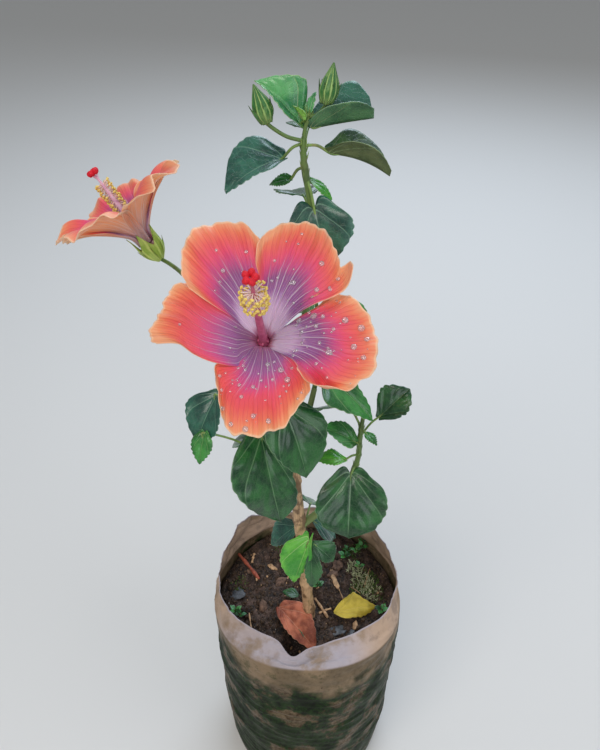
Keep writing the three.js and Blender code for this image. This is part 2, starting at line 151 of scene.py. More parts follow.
def swell(spots: Array, size: float, seed: int, waves: int = 10) -> Array:
    """Gives smooth seeded noise.

    Args:
        spots: where to read it.
        size: how far its swells are across.
        seed: its seed.
        waves: how many waves it is made of.

    Returns:
        Numbers of about -1 to 1.
    """
    chance = np.random.default_rng(seed)
    total = np.zeros(spots.shape[:-1])
    for _ in range(waves):
        way = unit(chance.normal(size=spots.shape[-1]))
        rate = math.pi / size * chance.uniform(0.6, 1.5)
        total += np.sin(spots @ way * rate + chance.uniform(0, TURN))
    return total / math.sqrt(waves)


def creases(spots: Array, size: float, seed: int) -> Array:
    """Gives seeded creases: sharp ridges of height 1 in smooth hollows, about size apart."""
    return 1 - 2 * np.sqrt(np.abs(swell(spots, size, seed, 6)) * 0.5).clip(0, 1)


def draws(seed: int) -> Iterator[float]:
    """Repeats the seeded numbers of the model's rule, draw by draw.

    Args:
        seed: their seed.

    Returns:
        The numbers, from 0 to 1.
    """
    state = seed
    while True:
        state = (state + 0x6D2B79F5) & WORD
        mixed = ((state ^ (state >> 15)) * (state | 1)) & WORD
        mixed ^= (mixed + ((mixed ^ (mixed >> 7)) * (mixed | 61) & WORD)) & WORD
        yield (mixed ^ (mixed >> 14)) / (WORD + 1)


# Materials

Adder = Callable[..., bpy.types.Node]
Inputs = dict[str, object]
CHOICES = {"Math": "operation", "MapRange": "interpolation_type", "Mix": "data_type", "TexVoronoi": "feature"}
RANGE = "MapRange SMOOTHSTEP"
MIX = "Mix RGBA"
UNEVEN = 0.55  # how strongly the finer grains of a noise show
BODY_SHARE = 0.8  # of the film's rows, from the middle of the bag's underside to its fold


def linear(code: str) -> tuple[float, float, float, float]:
    """Turns an sRGB hex colour into linear numbers with alpha."""
    parts = [int(code[i:i + 2], 16) / 255 for i in (1, 3, 5)]
    return (*[p / 12.92 if p <= 0.04045 else ((p + 0.055) / 1.055) ** 2.4 for p in parts], 1.0)


def grain(size: float) -> float:
    """Gives the scale of a pattern on Object coordinates whose grains are about size mm."""
    return 1 / (size * MM)


def add_node(tree: bpy.types.NodeTree, kind: str, *inputs: object, named: Inputs | None = None,
             stops: Sequence[tuple[float, str]] = (), **settings: object) -> bpy.types.Node:
    """Adds a node with its settings, its inputs' values or links, and a ramp's stops.

    Args:
        tree: the material's node tree.
        kind: the node's kind, and after a blank its main choice, as in "Math ADD".
        *inputs: for its open inputs in turn, a number, a hex colour, a socket, a node for its
            first output, or None to pass one over.
        named: the same by the input's name.
        stops: a colour ramp's places and hex colours.
        **settings: the node's own properties.

    Returns:
        The new node.
    """
    name, _, choice = kind.partition(" ")
    made = tree.nodes.new("ShaderNode" + name)
    if choice:
        setattr(made, CHOICES[name], choice)
    for key, value in settings.items():
        setattr(made, key, value)
    pairs = [*zip([socket for socket in made.inputs if socket.enabled], inputs)]
    pairs += [(made.inputs[key], value) for key, value in (named or {}).items()]
    for socket, value in pairs:
        if isinstance(value, bpy.types.Node):
            value = next(output for output in value.outputs if output.enabled)
        if isinstance(value, bpy.types.NodeSocket):
            tree.links.new(value, socket)
        elif value is not None:
            socket.default_value = linear(value) if isinstance(value, str) else value
    if stops:
        elements = made.color_ramp.elements
        while len(elements) < len(stops):
            elements.new(0.5)
        for element, (place, code) in zip(elements, sorted(stops)):
            element.position = place
            element.color = linear(code)
    return made


def overlaid(add: Adder, colour: object, *layers: tuple) -> object:
    """Lays colours over one another, each where its pattern is strong.

    Args:
        add: adds a node.
        colour: the lowest one.
        *layers: for each its pattern, where that begins and is full, its share and its colour.

    Returns:
        The colour of them all.
    """
    for pattern, start, full, share, top in layers:
        colour = add(MIX, add(RANGE, pattern, start, full, 0, share), colour, top)
    return colour


@dataclass(frozen=True)
class Finish:
    """A finish, which makes its material once and then gives it again."""

    name: str

    def material(self) -> bpy.types.Material:
        """Gives the finish's material.

        Returns:
            The material, made when first asked for.
        """
        known = bpy.data.materials.get(self.name)
        if known:
            return known
        made = bpy.data.materials.new(self.name)
        made.use_nodes = True
        made.node_tree.nodes.clear()
        add = partial(add_node, made.node_tree)
        add("OutputMaterial", add("BsdfPrincipled", named=self.dress(add)))
        return made

    def dress(self, add: Adder) -> Inputs:
        """Works out the colours, gloss and relief.

        Args:
            add: adds a node.

        Returns:
            The shader's inputs by name.
        """
        raise NotImplementedError


@dataclass(frozen=True)
class PlainFinish(Finish):
    """One colour with soft mottling, for small things such as crumbs or anthers."""

    colour: str
    shade: str
    roughness: float = 0.7
    size: float = 2.0  # mm, of its spots
    depth: float = 0.15  # mm, of its relief
    coat: float = 0.0
    glow: float = 0.0  # how much light comes through it

    def dress(self, add: Adder) -> Inputs:
        """Mottles the colour at the given size.

        Args:
            add: adds a node.

        Returns:
            The shader's inputs by name.
        """
        spots = add("TexNoise", add("TexCoord").outputs["Object"], grain(self.size), 3.0, UNEVEN)
        return {
            "Base Color": add("ValToRGB", spots, stops=[(0.35, self.shade), (0.65, self.colour)]),
            "Roughness": self.roughness,
            "Coat Weight": self.coat,
            "Subsurface Weight": self.glow,
            "Subsurface Radius": (0.0015, 0.001, 0.0008),
            "Normal": add("Bump", 1.0, self.depth * MM, None, spots),
        }


@dataclass(frozen=True)
class FilmFinish(Finish):
    """Blown polyethylene film: satin, beige where clean, with algae in its damp lower part."""

    clean: str = "#70604a"
    warm: str = "#8e785f"
    fold: str = "#aaa0a4"
    inner: str = "#b89e88"
    shade: str = "#847468"
    alga: str = "#1f3512"
    deep: str = "#070b04"
    streak: str = "#3c2c18"
    dry: float = 328.0  # mm, the height above which no algae grow, less the sway of their edge
    damp: float = 304.0  # mm, the height below which they grow freely
    flap_right: Flat = (75.0, 30.0)  # mm, where the folded flap's pale face ends and is full
    flap_front: Flat = (-20.0, -70.0)

    def dress(self, add: Adder) -> Inputs:
        """Paints the band, the algae and the streaks by height, and the flap along the film.

        Args:
            add: adds a node.

        Returns:
            The shader's inputs by name.
        """
        place = add("TexCoord").outputs["Object"]
        right, away, height = add("SeparateXYZ", place).outputs
        cloud = add("TexNoise", place, grain(40.0), 6.0, UNEVEN)
        growth = add("TexNoise", add("Mapping", place, None, None, (1, 1, 0.9)), grain(26.0), 12.0, 0.66)
        fine = add("TexNoise", place, grain(4.0), 8.0, 0.65)
        covered = growth
        for pattern, share in ((cloud, 0.5), (fine, 0.3)):
            covered = add("Math ADD", covered, add("Math MULTIPLY_ADD", pattern, share, -share / 2))
        bare = overlaid(add, self.streak, (fine, 0.35, 0.65, 1, self.clean))
        alga = overlaid(add, self.deep, (fine, 0.35, 0.6, 1, self.alga))
        grown = overlaid(add, bare, (covered, 0.39, 0.49, 1, alga), (growth, 0.5, 0.7, 0.8, self.deep))
        clean = overlaid(add, self.clean, (fine, 0.4, 0.7, 0.45, self.streak),
                         (cloud, 0.45, 0.6, 0.8, self.warm), (covered, 0.56, 0.66, 0.5, self.alga))
        line = add("Math MULTIPLY_ADD", cloud, 0.1, height)
        body = overlaid(add, clean, (line, self.dry * MM, self.damp * MM, 1, grown))
        sides = (add(RANGE, axis, start * MM, full * MM)
                 for axis, (start, full) in ((right, self.flap_right), (away, self.flap_front)))
        folded = add(MIX, add("Math MULTIPLY", *sides), self.inner, self.fold)
        along = add("SeparateXYZ", add("UVMap", uv_map=BLADE)).outputs["Y"]
        folded = overlaid(add, folded, (growth, 0.5, 0.62, 0.55, self.shade),
                          (cloud, 0.5, 0.62, 0.8, self.warm), (along, 0.985, 0.995, 1, self.fold))
        return {
            "Base Color": overlaid(add, body, (along, BODY_SHARE - 0.004, BODY_SHARE + 0.012, 1, folded)),
            "Roughness": add(RANGE, growth, 0.35, 0.65, 0.4, 0.62),
            "Specular IOR Level": 0.14,
            "Normal": add("Bump", 1.0, 0.2 * MM, None, fine),
        }


@dataclass(frozen=True)
class SoilFinish(Finish):
    """Moist potting soil: near black and open, with a rusty brown cast."""

    dark: str = "#1c1512"
    brown: str = "#57433a"
    dry: str = "#7d6a5a"

    def dress(self, add: Adder) -> Inputs:
        """Mottles the soil at the size of its lumps and crumbs.

        Args:
            add: adds a node.

        Returns:
            The shader's inputs by name.
        """
        place = add("TexCoord").outputs["Object"]
        lumps = add("TexNoise", place, grain(9.0), 6.0, UNEVEN)
        crumbs = add("TexNoise", place, grain(1.6), 4.0, UNEVEN)
        layers = (lumps, 0.35, 0.7, 1, self.brown), (crumbs, 0.54, 0.72, 0.8, self.dry)
        return {
            "Base Color": overlaid(add, self.dark, *layers),
            "Roughness": 0.85,
            "Normal": add("Bump", 1.0, 1.4 * MM, None, crumbs),
        }


@dataclass(frozen=True)
class BarkFinish(Finish):
    """Young bark or green wood: satin, with fine fissures along the limb."""

    light: str
    dark: str
    green: str
    roughness: float = 0.6

    def dress(self, add: Adder) -> Inputs:
        """Streaks the bark along the limb and greens it in patches.

        Args:
            add: adds a node.

        Returns:
            The shader's inputs by name.
        """
        place = add("TexCoord").outputs["Object"]
        patches, fissures, stains = (
            add("TexNoise", add("Mapping", place, None, None, (1, 1, 1 / long)), grain(size), detail, UNEVEN)
            for size, long, detail in ((12.0, 2, 4.0), (1.8, 5, 4.0), (6.0, 2, 8.0))
        )
        layers = ((fissures, 0.62, 0.3, 0.35, self.dark), (patches, 0.5, 0.64, 0.6, self.green),
                  (stains, 0.47, 0.58, 0.8, self.dark))
        return {
            "Base Color": overlaid(add, self.light, *layers),
            "Roughness": self.roughness,
            "Normal": add("Bump", 1.0, 0.25 * MM, None, fissures),
        }


@dataclass(frozen=True)
class SepalFinish(Finish):
    """A bud's or calyx's skin: downy green with paler ribs from its foot to its tip."""

    deep: str
    rib: str
    count: float = 10.0

    def dress(self, add: Adder) -> Inputs:
        """Draws the ribs by the place round the bud.

        Args:
            add: adds a node.

        Returns:
            The shader's inputs by name.
        """
        across, along, _ = add("SeparateXYZ", add("UVMap", uv_map=BLADE)).outputs
        cloud = add("TexNoise", add("TexCoord").outputs["Object"], grain(6.0), 3.0, UNEVEN)
        turn = add("Math MULTIPLY_ADD", cloud, 0.4, add("Math MULTIPLY", across, self.count))
        ribs = add(RANGE, add("Math PINGPONG", turn, 0.5), 0.06, 0.26, 1, 0)
        ribbed = add(MIX, add("Math MULTIPLY", ribs, 0.8), self.deep, self.rib)
        layers = (along, 0.3, 0.0, 0.5, self.rib), (cloud, 0.5, 0.7, 0.4, self.rib)
        return {
            "Base Color": overlaid(add, ribbed, *layers),
            "Roughness": 0.5,
            "Subsurface Weight": 0.1,
            "Subsurface Radius": (0.001, 0.0015, 0.0005),
            "Normal": add("Bump", 1.0, 0.5 * MM, None, ribs),
        }


BLADE_ASPECT = 0.42  # half the width of a blade over its length, for the veins' directions
MAIN_VEINS = (0.56, 1.08)  # the directions of the main side veins from the midrib, in radians
SIDE_SLOPE = 0.6  # how far a small side vein runs on while it crosses half the blade
SIDE_PITCH = 0.21  # from one small side vein to the next, as a share of the blade's length


@dataclass(frozen=True)
class LeafFinish(Finish):
    """A hibiscus leaf's skin: waxy above, matt and paler below, with veins spread like a hand."""

    deep: str
    light: str
    vein: str
    roughness: float = 0.34
    coat: float = 0.6
    vein_share: float = 0.38

    def dress(self, add: Adder) -> Inputs:
        """Draws the midrib, the side veins and the net on the blade's own coordinates.

        Args:
            add: adds a node.

        Returns:
            The shader's inputs by name.
        """
        across, along, _ = add("SeparateXYZ", add("UVMap", uv_map=BLADE)).outputs
        away = add("Math ABSOLUTE", add("Math MULTIPLY_ADD", across, 2.0, -1.0))
        wide = add("Math MULTIPLY", away, BLADE_ASPECT)
        angle = add("Math ARCTAN2", wide, add("Math ADD", along, 0.005))
        far = add("Math SQRT", add("Math MULTIPLY_ADD", wide, wide, add("Math POWER", along, 2.0)))
        veins = add(RANGE, wide, 0.004, 0.014, 1, 0)
        for way in MAIN_VEINS:
            aside = add("Math ABSOLUTE", add("Math SUBTRACT", angle, way))
            main = add(RANGE, add("Math MULTIPLY", aside, far), 0.003, 0.011, 1, 0)
            veins = add("Math MAXIMUM", veins, main)
        run = add("Math MULTIPLY_ADD", away, -SIDE_SLOPE, along)
        phase = add("Math PINGPONG", add("Math DIVIDE", run, SIDE_PITCH), 0.5)
        side = add("Math MULTIPLY", add(RANGE, phase, 0.015, 0.055, 1, 0), add(RANGE, run, 0.1, 0.16))
        veins = add("Math MAXIMUM", veins, add("Math MULTIPLY", side, 0.12))
        veins = add("Math MULTIPLY", veins, add(RANGE, away, 0.6, 1.0, 1, 0.3))
        # The real net is about 1 mm wide, and it is drawn at 3.2 mm to show
        place = add("TexCoord").outputs["Object"]
        net = add(RANGE, add("TexVoronoi DISTANCE_TO_EDGE", place, grain(3.2)), 0.01, 0.1, 1, 0)
        tone = add("TexNoise", place, grain(15.0), 3.0, UNEVEN)
        colour = overlaid(add, self.deep, (tone, 0.38, 0.65, 1, self.light))
        for lines, share in ((net, 0.05), (veins, self.vein_share)):
            colour = add(MIX, add("Math MULTIPLY", lines, share), colour, self.vein)
        sunk = add("Math MAXIMUM", veins, add("Math MULTIPLY", net, 0.4))
        return {
            "Base Color": overlaid(add, colour, (away, 0.965, 0.995, 0.5, self.vein)),
            "Roughness": add(RANGE, tone, 0.3, 0.7, self.roughness - 0.05, self.roughness + 0.1),
            "Coat Weight": self.coat,
            "Coat Roughness": 0.2,
            "Specular IOR Level": 0.3,
            "Subsurface Weight": 0.08,
            "Subsurface Radius": (0.0006, 0.0012, 0.0003),
            "Normal": add("Bump", 1.0, 0.3 * MM, None, add("Math SUBTRACT", 1.0, sunk)),
        }


PETAL_WIDE, PETAL_LONG = 48.0, 70.0  # mm, for the scales of the patterns on a petal


@dataclass(frozen=True)
class PetalFinish(Finish):
    """A petal's skin: satin and finely pleated, its colours in bands from throat to rim."""

    bands: tuple[tuple[float, str], ...]
    pale_vein: str = "#f0dce6"
    red_vein: str = "#cc2c44"
    rim: str = "#f8c4a0"
    pale_share: float = 0.75
    glow: float = 0.2  # how much light comes through it

    def dress(self, add: Adder) -> Inputs:
        """Paints the bands, with pale veins near the throat and red ones near the rim.

        Args:
            add: adds a node.

        Returns:
            The shader's inputs by name.
        """
        across, along, _ = add("SeparateXYZ", add("UVMap", uv_map=BLADE)).outputs
        # Clouds, fine pleats and the bends of the veins, each by its width and length in mm
        drift, pleats, bend = (
            add("TexNoise", add("CombineXYZ", add("Math MULTIPLY", across, PETAL_WIDE / wide),
                                add("Math MULTIPLY", along, PETAL_LONG / long)), 1.0, detail)
            for wide, long, detail in ((6.154, 33.65, 3.0), (0.8, 35.0, 3.0), (16.0, 17.5, 2.0))
        )
        # Nine main veins, about 5 mm apart, and thirty twigs, both drawn wider than they are
        crooked = add("Math MULTIPLY_ADD", bend, 0.05, across)
        ribs, twigs = (
            add(RANGE, add("TexVoronoi DISTANCE_TO_EDGE", crooked, count, named={"Randomness": 0.8},
                           voronoi_dimensions="1D"), width * 0.4, width * 2.2, 1, 0)
            for count, width in ((9.0, 0.035), (30.0, 0.07))
        )
        away = add("Math ABSOLUTE", add("Math MULTIPLY_ADD", across, 2.0, -1.0))
        sides = add("Math MULTIPLY", add("Math POWER", away, 3.0), add(RANGE, along, 0.1, 0.5, 0, 0.2))
        reach = add("Math ADD", along, sides)
        for pattern, sway in ((drift, 0.16), (pleats, 0.12)):
            reach = add("Math ADD", reach, add("Math MULTIPLY_ADD", pattern, sway, -sway / 2))
        fade = add("Math MULTIPLY", add(RANGE, reach, 0.78, 0.35), add(RANGE, along, 0.04, 0.12))
        pale = add("Math MULTIPLY", add("Math MAXIMUM", ribs, add("Math MULTIPLY", twigs, 0.3)), fade)
        red = add("Math MULTIPLY", twigs, add(RANGE, reach, 0.5, 0.7, 0, 0.42))
        edge = add("Math MULTIPLY", add(RANGE, away, 0.975, 0.998), add(RANGE, along, 0.3, 0.6))
        border = add("Math MAXIMUM", add(RANGE, along, 0.975, 0.995), edge)
        colour = add("ValToRGB", reach, stops=self.bands)
        for lines, share, top in ((pale, self.pale_share, self.pale_vein),
                                  (red, add(RANGE, along, 0.97, 0.86), self.red_vein),
                                  (border, 0.85, self.rim)):
            colour = add(MIX, add("Math MULTIPLY", lines, share), colour, top)
        return {
            "Base Color": colour,
            "Roughness": 0.46,
            "Specular IOR Level": 0.35,
            "Sheen Weight": 0.15,
            "Subsurface Weight": self.glow,
            "Subsurface Radius": (0.005, 0.0025, 0.0016),
            "Subsurface Scale": 1.0,
            "Normal": add("Bump", 1.0, 0.6 * MM, None, add("Math MULTIPLY_ADD", ribs, -0.3, pleats)),
        }


@dataclass(frozen=True)
class WaterFinish(Finish):
    """Rain drops: clear water, which shows the petal under it and a sharp glint, with a white base colour
    that is painted light.
    """

    def dress(self, add: Adder) -> Inputs:
        """Sets clear water with a little body: a white base colour, painted light that makes the drops read
        pale and bright.

        Args:
            add: adds a node.

        Returns:
            The shader's inputs by name.
        """
        body = add("TexNoise", add("TexCoord").outputs["Object"], grain(6.0), 3.0, UNEVEN)
        return {
            # The white base colour is painted light: it makes the drops read pale and bright
            "Base Color": add("ValToRGB", body, stops=[(0.2, "#ffffff"), (0.8, "#fbf4f8")]),
            "IOR": 1.33,
            "Transmission Weight": 0.75,
            "Roughness": 0.04,
            "Coat Weight": 1.0,
        }


@dataclass(frozen=True)
class FloorFinish(Finish):
    """A plain pale studio floor, matt, so that nothing on it draws the eye."""

    def dress(self, add: Adder) -> Inputs:
        """Sets a flat matt colour."""
        return {"Base Color": "#d8d6d2", "Roughness": 0.9}


class Tone(Enum):
    """The greens that the leaves are dealt: a skin's two greens and its veins, and two below."""

    # The bluish greens of this tone are partly the leaves' own and partly a painted sky reflection, the teal
    # sheen of their wax
    SHEEN_TEAL = ("#123e34", "#2c6652", "#8ab49a", "#3f6a4a", "#5a8a5c")
    DEEP = ("#0f3f1e", "#2b6630", "#86ac80", "#3c6a3a", "#588a4c")
    FRESH = ("#1d6326", "#41923e", "#acd08a", "#4c8038", "#6c9c4c")
    BRIGHT = ("#318a24", "#63b53a", "#c0e090", "#5a9238", "#82b254")
    DULL = ("#22442a", "#466438", "#94a87c", "#4a5a34", "#68744a")
    YOUNG = ("#2f7d4c", "#64ac6c", "#c4e09c", "#5c9c34", "#84bc50")

    @property
    def above(self) -> LeafFinish:
        """Gives the upper skin: a thin wax coat, so the sky lies on it as a soft sheen."""
        return LeafFinish(f"leaf_{self.name.lower()}_above", *self.value[:3])

    @property
    def below(self) -> LeafFinish:
        """Gives the underside: no wax, so it is matt, and paler than the skin above."""
        return LeafFinish(f"leaf_{self.name.lower()}_below", *self.value[3:], "#a9c089", 0.5, 0.05, 0.4)


# Young bark, thin and smooth: a satin tan, with dark leaf scars and olive patches
BARK = BarkFinish("young_bark", "#d4ae84", "#66492f", "#96844e")
# Green wood, not yet barked: satin olive with tan streaks
GREEN_WOOD = BarkFinish("green_wood", "#7d8a4c", "#56603a", "#9a7c58", 0.5)
# A soft shoot and a leaf's stalk: smooth, juicy green that catches a soft light, browner in patches
SHOOT = BarkFinish("soft_shoot", "#5f7a3c", "#48602f", "#7a6a48", 0.42)
STALK = BarkFinish("leaf_stalk", "#7d9a4e", "#5c7a3a", "#8c6a50", 0.42)
# Downy sepals: a matt green, dark between pale ribs on the buds and yellow-green on the calyx
BUD = SepalFinish("bud_sepal", "#2f6a2c", "#9cbc6c")
CALYX = SepalFinish("calyx_sepal", "#96b440", "#ccdc74")
# The waxy tube of the joined stamens: a smooth pink with a thin gloss, and light in its edges
PALE_COLUMN = PlainFinish("pale_column", "#ecc8d6", "#d8a4bc", 0.42, 3.0, 0.08, 0.1, 0.2)
COLUMN = PlainFinish("staminal_column", "#cc6a88", "#b45272", 0.42, 3.0, 0.08, 0.1, 0.2)
# The thin threads of the anthers: almost white, and lit through
FILAMENT = PlainFinish("filament", "#f4e0d8", "#e8c4bc", 0.5, 2.0, 0.02, 0.0, 0.2)
# Pollen on the anthers: a dusty, quite matt yellow with a fine grit
ANTHER = PlainFinish("anther_pollen", "#f6e282", "#e2bc54", 0.8, 0.6, 0.25)
# The petals' joined foot: deep crimson in front, dull pink behind, both soft and matt
THROAT = PlainFinish("petal_throat", "#b0446e", "#8a2450", 0.5, 2.0, 0.05)
NECK = PlainFinish("petal_tube", "#d9a59c", "#c58c8c", 0.5, 3.0, 0.1)
# The stigmas' velvet: a strong red without gloss
STIGMA = PlainFinish("stigma_velvet", "#e8142c", "#c00c22", 0.7, 0.5, 0.2)
WATER = WaterFinish("rain_drops")
# Crumbs and lumps of peat soil: dull browns with a rough skin
CRUMB = PlainFinish("soil_crumb", "#55412f", "#241a14", 0.85, 1.5, 0.3)
LUMP = PlainFinish("soil_lump", "#7a5f4e", "#443229", 0.85, 4.0, 0.8)
# Torn bark: a light tan, dry and matt, and the darker wet pieces a little smoother
CHIP = PlainFinish("bark_chip", "#c8a27a", "#8a6a4c", 0.75, 4.0, 0.4)
SLATE = PlainFinish("dark_chip", "#5c6066", "#34363a", 0.5, 4.0, 0.3)
# Grit of crushed stone: a plain grey
STONE = PlainFinish("grey_grit", "#9a948c", "#6a645e", 0.7, 2.0, 0.2)
# Living moss: matt green, and dead moss: straw
MOSS = PlainFinish("moss", "#5c7a2c", "#2f4a1c", 0.8, 1.2, 0.3)
HAY = PlainFinish("dry_moss", "#d0d0ac", "#8c9464", 0.8, 1.2, 0.3)
# Fallen leaves, dry: without wax, so quite matt, one red-brown and one yellowed
DEAD = LeafFinish("dead_leaf", "#7c3d2c", "#bc7054", "#dba88c", 0.6, 0.0, 0.3)
FADED = LeafFinish("faded_leaf", "#a08a24", "#c4ac40", "#dccb7c", 0.6, 0.0, 0.3)
# A peeled twig: a dull rust red
TWIG = PlainFinish("red_twig", "#a8543c", "#7c3a28", 0.7, 3.0, 0.3)
FILM = FilmFinish("polyethylene_film")
SOIL = SoilFinish("potting_soil")

# The colours from throat to rim, by place along the petal
PETAL_BANDS = (
    (0.0, "#b03c6c"), (0.04, "#cc7aa0"), (0.1, "#deb8d4"), (0.27, "#cda4ca"), (0.4, "#8a5090"),
    (0.53, "#843c7c"), (0.63, "#c23a7a"), (0.74, "#e6446a"), (0.84, "#ea5658"), (0.93, "#ee7456"),
    (1.0, "#f29a72"),
)
DARK_BANDS = (
    (0.0, "#ae3c6c"), (0.05, "#b0628e"), (0.14, "#84487f"), (0.28, "#844a86"), (0.4, "#9c4e8e"),
    (0.52, "#cc4280"), (0.65, "#e84466"), (0.8, "#e84c50"), (0.9, "#ec6a50"), (0.97, "#f08c62"),
    (1.0, "#f29c72"),
)
# The back's colours are partly the petal's own paler peach and partly painted light, raised to stand for the
# light that comes through it
LIT_BACK_BANDS = (
    (0.0, "#eec0c0"), (0.2, "#f0a498"), (0.45, "#f88e6c"), (0.75, "#fc8a5c"), (0.92, "#fc9468"),
    (1.0, "#ffb08c"),
)
# Petal skin: satin, with colour that seems to glow, and behind thinner and lit through, its paler colours
# partly its own and partly painted light
PALE_PETAL = PetalFinish("petal_pale_throat", PETAL_BANDS)
DARK_PETAL = PetalFinish("petal_dark_throat", DARK_BANDS, pale_share=0.5)
PETAL_BACK = PetalFinish("petal_back", LIT_BACK_BANDS, "#f4dcdc", "#c8686a", "#f8c4a4", 0.5, 0.45)


# Meshes

SEAM_GAP = 1e-6  # metres, within which the edges of a seam are one


def settle(piece: bpy.types.Object, slot: str, replaces: Sequence[str] = ()) -> None:
    """Ties a finished piece to the frame and reports it.

    Args:
        piece: the piece, with its place in its mesh.
        slot: the record's material slot, which is not used.
        replaces: the CAD nodes that it stands for.
    """
    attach(piece, BODY)
    if replaces:
        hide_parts(*replaces)
    log.info("%s: %d faces", piece.name, len(piece.data.polygons))


def sheet(name: str, columns: int, rows: int, shape: Callable[[Array, Array], Array],
          finishes: Sequence[Finish], thickness: float = 0.0, seam: bool = False) -> bpy.types.Object:
    """Shapes a grid primitive into a petal, a tube or a bag.

    Args:
        name: the piece's name.
        columns: faces across, for x from -1 to 1.
        rows: faces along, for s from 0 to 1.
        shape: gives the places in mm for arrays of s and x.
        finishes: the front's finish, then the back's.
        thickness: how far a back is laid behind the front, in mm.
        seam: whether edges that meet are joined, which closes tubes and poles.

    Returns:
        The piece, at the origin.
    """
    bpy.ops.mesh.primitive_grid_add(x_subdivisions=columns, y_subdivisions=rows, size=2)
    piece = bpy.context.object
    piece.name = name
    mesh = piece.data
    mesh.name = name
    mesh.uv_layers[0].name = BLADE
    flat = np.empty(len(mesh.vertices) * 3)
    mesh.vertices.foreach_get("co", flat)
    x, y = flat.reshape(-1, 3)[:, 0], flat.reshape(-1, 3)[:, 1]
    mesh.vertices.foreach_set("co", (shape((y + 1) / 2, x) * MM).ravel())
    mesh.update()
    if seam:
        bpy.ops.object.mode_set(mode="EDIT")
        bpy.ops.mesh.select_all(action="SELECT")
        bpy.ops.mesh.remove_doubles(threshold=SEAM_GAP)
        bpy.ops.object.mode_set(mode="OBJECT")
    for finish in finishes:
        mesh.materials.append(finish.material())
    if thickness:
        backing = piece.modifiers.new("backing", "SOLIDIFY")
        backing.thickness = thickness * MM
        backing.offset = -1
        backing.use_quality_normals = True
        backing.material_offset = len(finishes) - 1
        bpy.ops.object.modifier_apply(modifier=backing.name)
    bpy.ops.object.shade_smooth()
    return piece


class Heap:
    """Many small shapes of one kind, which become one mesh."""

    def __init__(self, *finishes: Finish) -> None:
        """Starts an empty heap, with the first of its finishes."""
        self.finishes = {finish: number for number, finish in enumerate(finishes)}
        self.spots: list[Array] = []
        self.marks: list[Array] = []
        self.faces: list[list[int]] = []
        self.kinds: list[int] = []
        self.count = 0

    def number(self, finish: Finish) -> int:
        """Gives a finish's number in the heap, which takes in a new one."""
        return self.finishes.setdefault(finish, len(self.finishes))

    def add(self, spots: Array, faces: Array, kinds: Sequence[int], marks: Array | None = None) -> None:
        """Adds one shape.

        Args:
            spots: its vertices in mm.
            faces: its faces as rows of vertex numbers.
            kinds: the number of a finish for each face.
            marks: its pattern coordinates, one pair a vertex.
        """
        spots = np.asarray(spots, float).reshape(-1, 3)
        marks = np.zeros((len(spots), 2)) if marks is None else marks
        self.spots.append(spots)
        self.marks.append(np.asarray(marks, float).reshape(-1, 2))
        self.faces += (faces + self.count).tolist()
        self.kinds += kinds
        self.count += len(spots)

    def tube(self, path: Sequence, radii: dict[float, float] | Array, sides: int, finish: Finish,
             squash: float = 1.0) -> None:
        """Adds a closed round limb along a path.

        Args:
            path: its middle, ring by ring.
            radii: its radius in mm by share of its rings, or of each ring, or at each side of each.
            sides: how many faces go round it.
            finish: its finish.
            squash: how flat its section is, as a share.
        """
        path = np.asarray(path, float)
        rings = len(path)
        if isinstance(radii, dict):
            radii = np.interp(shares(rings), [*radii], [*radii.values()])
        if radii.ndim == 1:
            radii = np.repeat(radii[:, None], sides, 1)
        ahead = unit(np.gradient(path, axis=0))
        side = np.empty_like(path)
        start = np.array([1.0, 0, 0]) if abs(ahead[0][0]) < 0.8 else UP
        for i in range(rings):
            side[i] = start = unit(start - ahead[i] * (start @ ahead[i]))
        up = np.cross(ahead, side)
        turn = np.arange(sides) * TURN / sides
        ring = side[:, None] * np.cos(turn)[:, None] + up[:, None] * np.sin(turn)[:, None] * squash
        i, k = np.meshgrid(np.arange(rings - 1), np.arange(sides), indexing="ij")
        a, b = i * sides + k, i * sides + (k + 1) % sides
        faces = np.stack([a, b, b + sides, a + sides], -1).reshape(-1, 4)
        marks = np.stack(np.meshgrid(turn / TURN, shares(rings)), -1)
        kind = self.number(finish)
        self.add(path[:, None] + ring * radii[..., None], faces, [kind] * len(faces), marks)
        first, last = self.count - rings * sides, self.count - sides
        self.faces += [[*range(first, first + sides)][::-1], [*range(last, last + sides)]]
        self.kinds += [kind, kind]

    def blob(self, place: Array, size: Sequence[float], finish: Finish, axes: Array | None = None,
             detail: int = 1, rough: float = 0.0, seed: int = 0) -> None:
        """Adds a rounded lump.

        Args:
            place: its middle in mm.
            size: its three half sizes in mm.
            finish: its finish.
            axes: rows of three axes that it is turned to.
            detail: how finely it is divided.
            rough: how uneven it is, as a share of its size.
            seed: the seed of its unevenness.
        """
        ball, faces = ball_template(detail)
        if rough:
            ball = ball * (1 + rough * swell(ball * 2 + seed, 1.1, seed, 5))[:, None]
        spots = ball * np.asarray(size, float)
        if axes is not None:
            spots = spots @ axes
        self.add(spots + place, faces, [self.number(finish)] * len(faces))

    def finish(self, name: str, slot: str, replaces: Sequence[str] = ()) -> None:
        """Makes one mesh of the shapes, and its object.

        Args:
            name: the piece's name.
            slot: the record's material slot.
            replaces: the CAD nodes that it stands for.
        """
        mesh = bpy.data.meshes.new(name)
        mesh.from_pydata((np.concatenate(self.spots) * MM).tolist(), [], self.faces)
        used, finishes = sorted(set(self.kinds)), [*self.finishes]
        for number in used:
            mesh.materials.append(finishes[number].material())
        mesh.polygons.foreach_set("material_index", [used.index(kind) for kind in self.kinds])
        corners = np.empty(len(mesh.loops), int)
        mesh.loops.foreach_get("vertex_index", corners)
        layer = mesh.uv_layers.new(name=BLADE)
        layer.data.foreach_set("uv", np.concatenate(self.marks)[corners].ravel())
        mesh.polygons.foreach_set("use_smooth", [True] * len(mesh.polygons))
        mesh.update()
        made = bpy.data.objects.new(name, mesh)
        bpy.context.collection.objects.link(made)
        settle(made, slot, replaces)


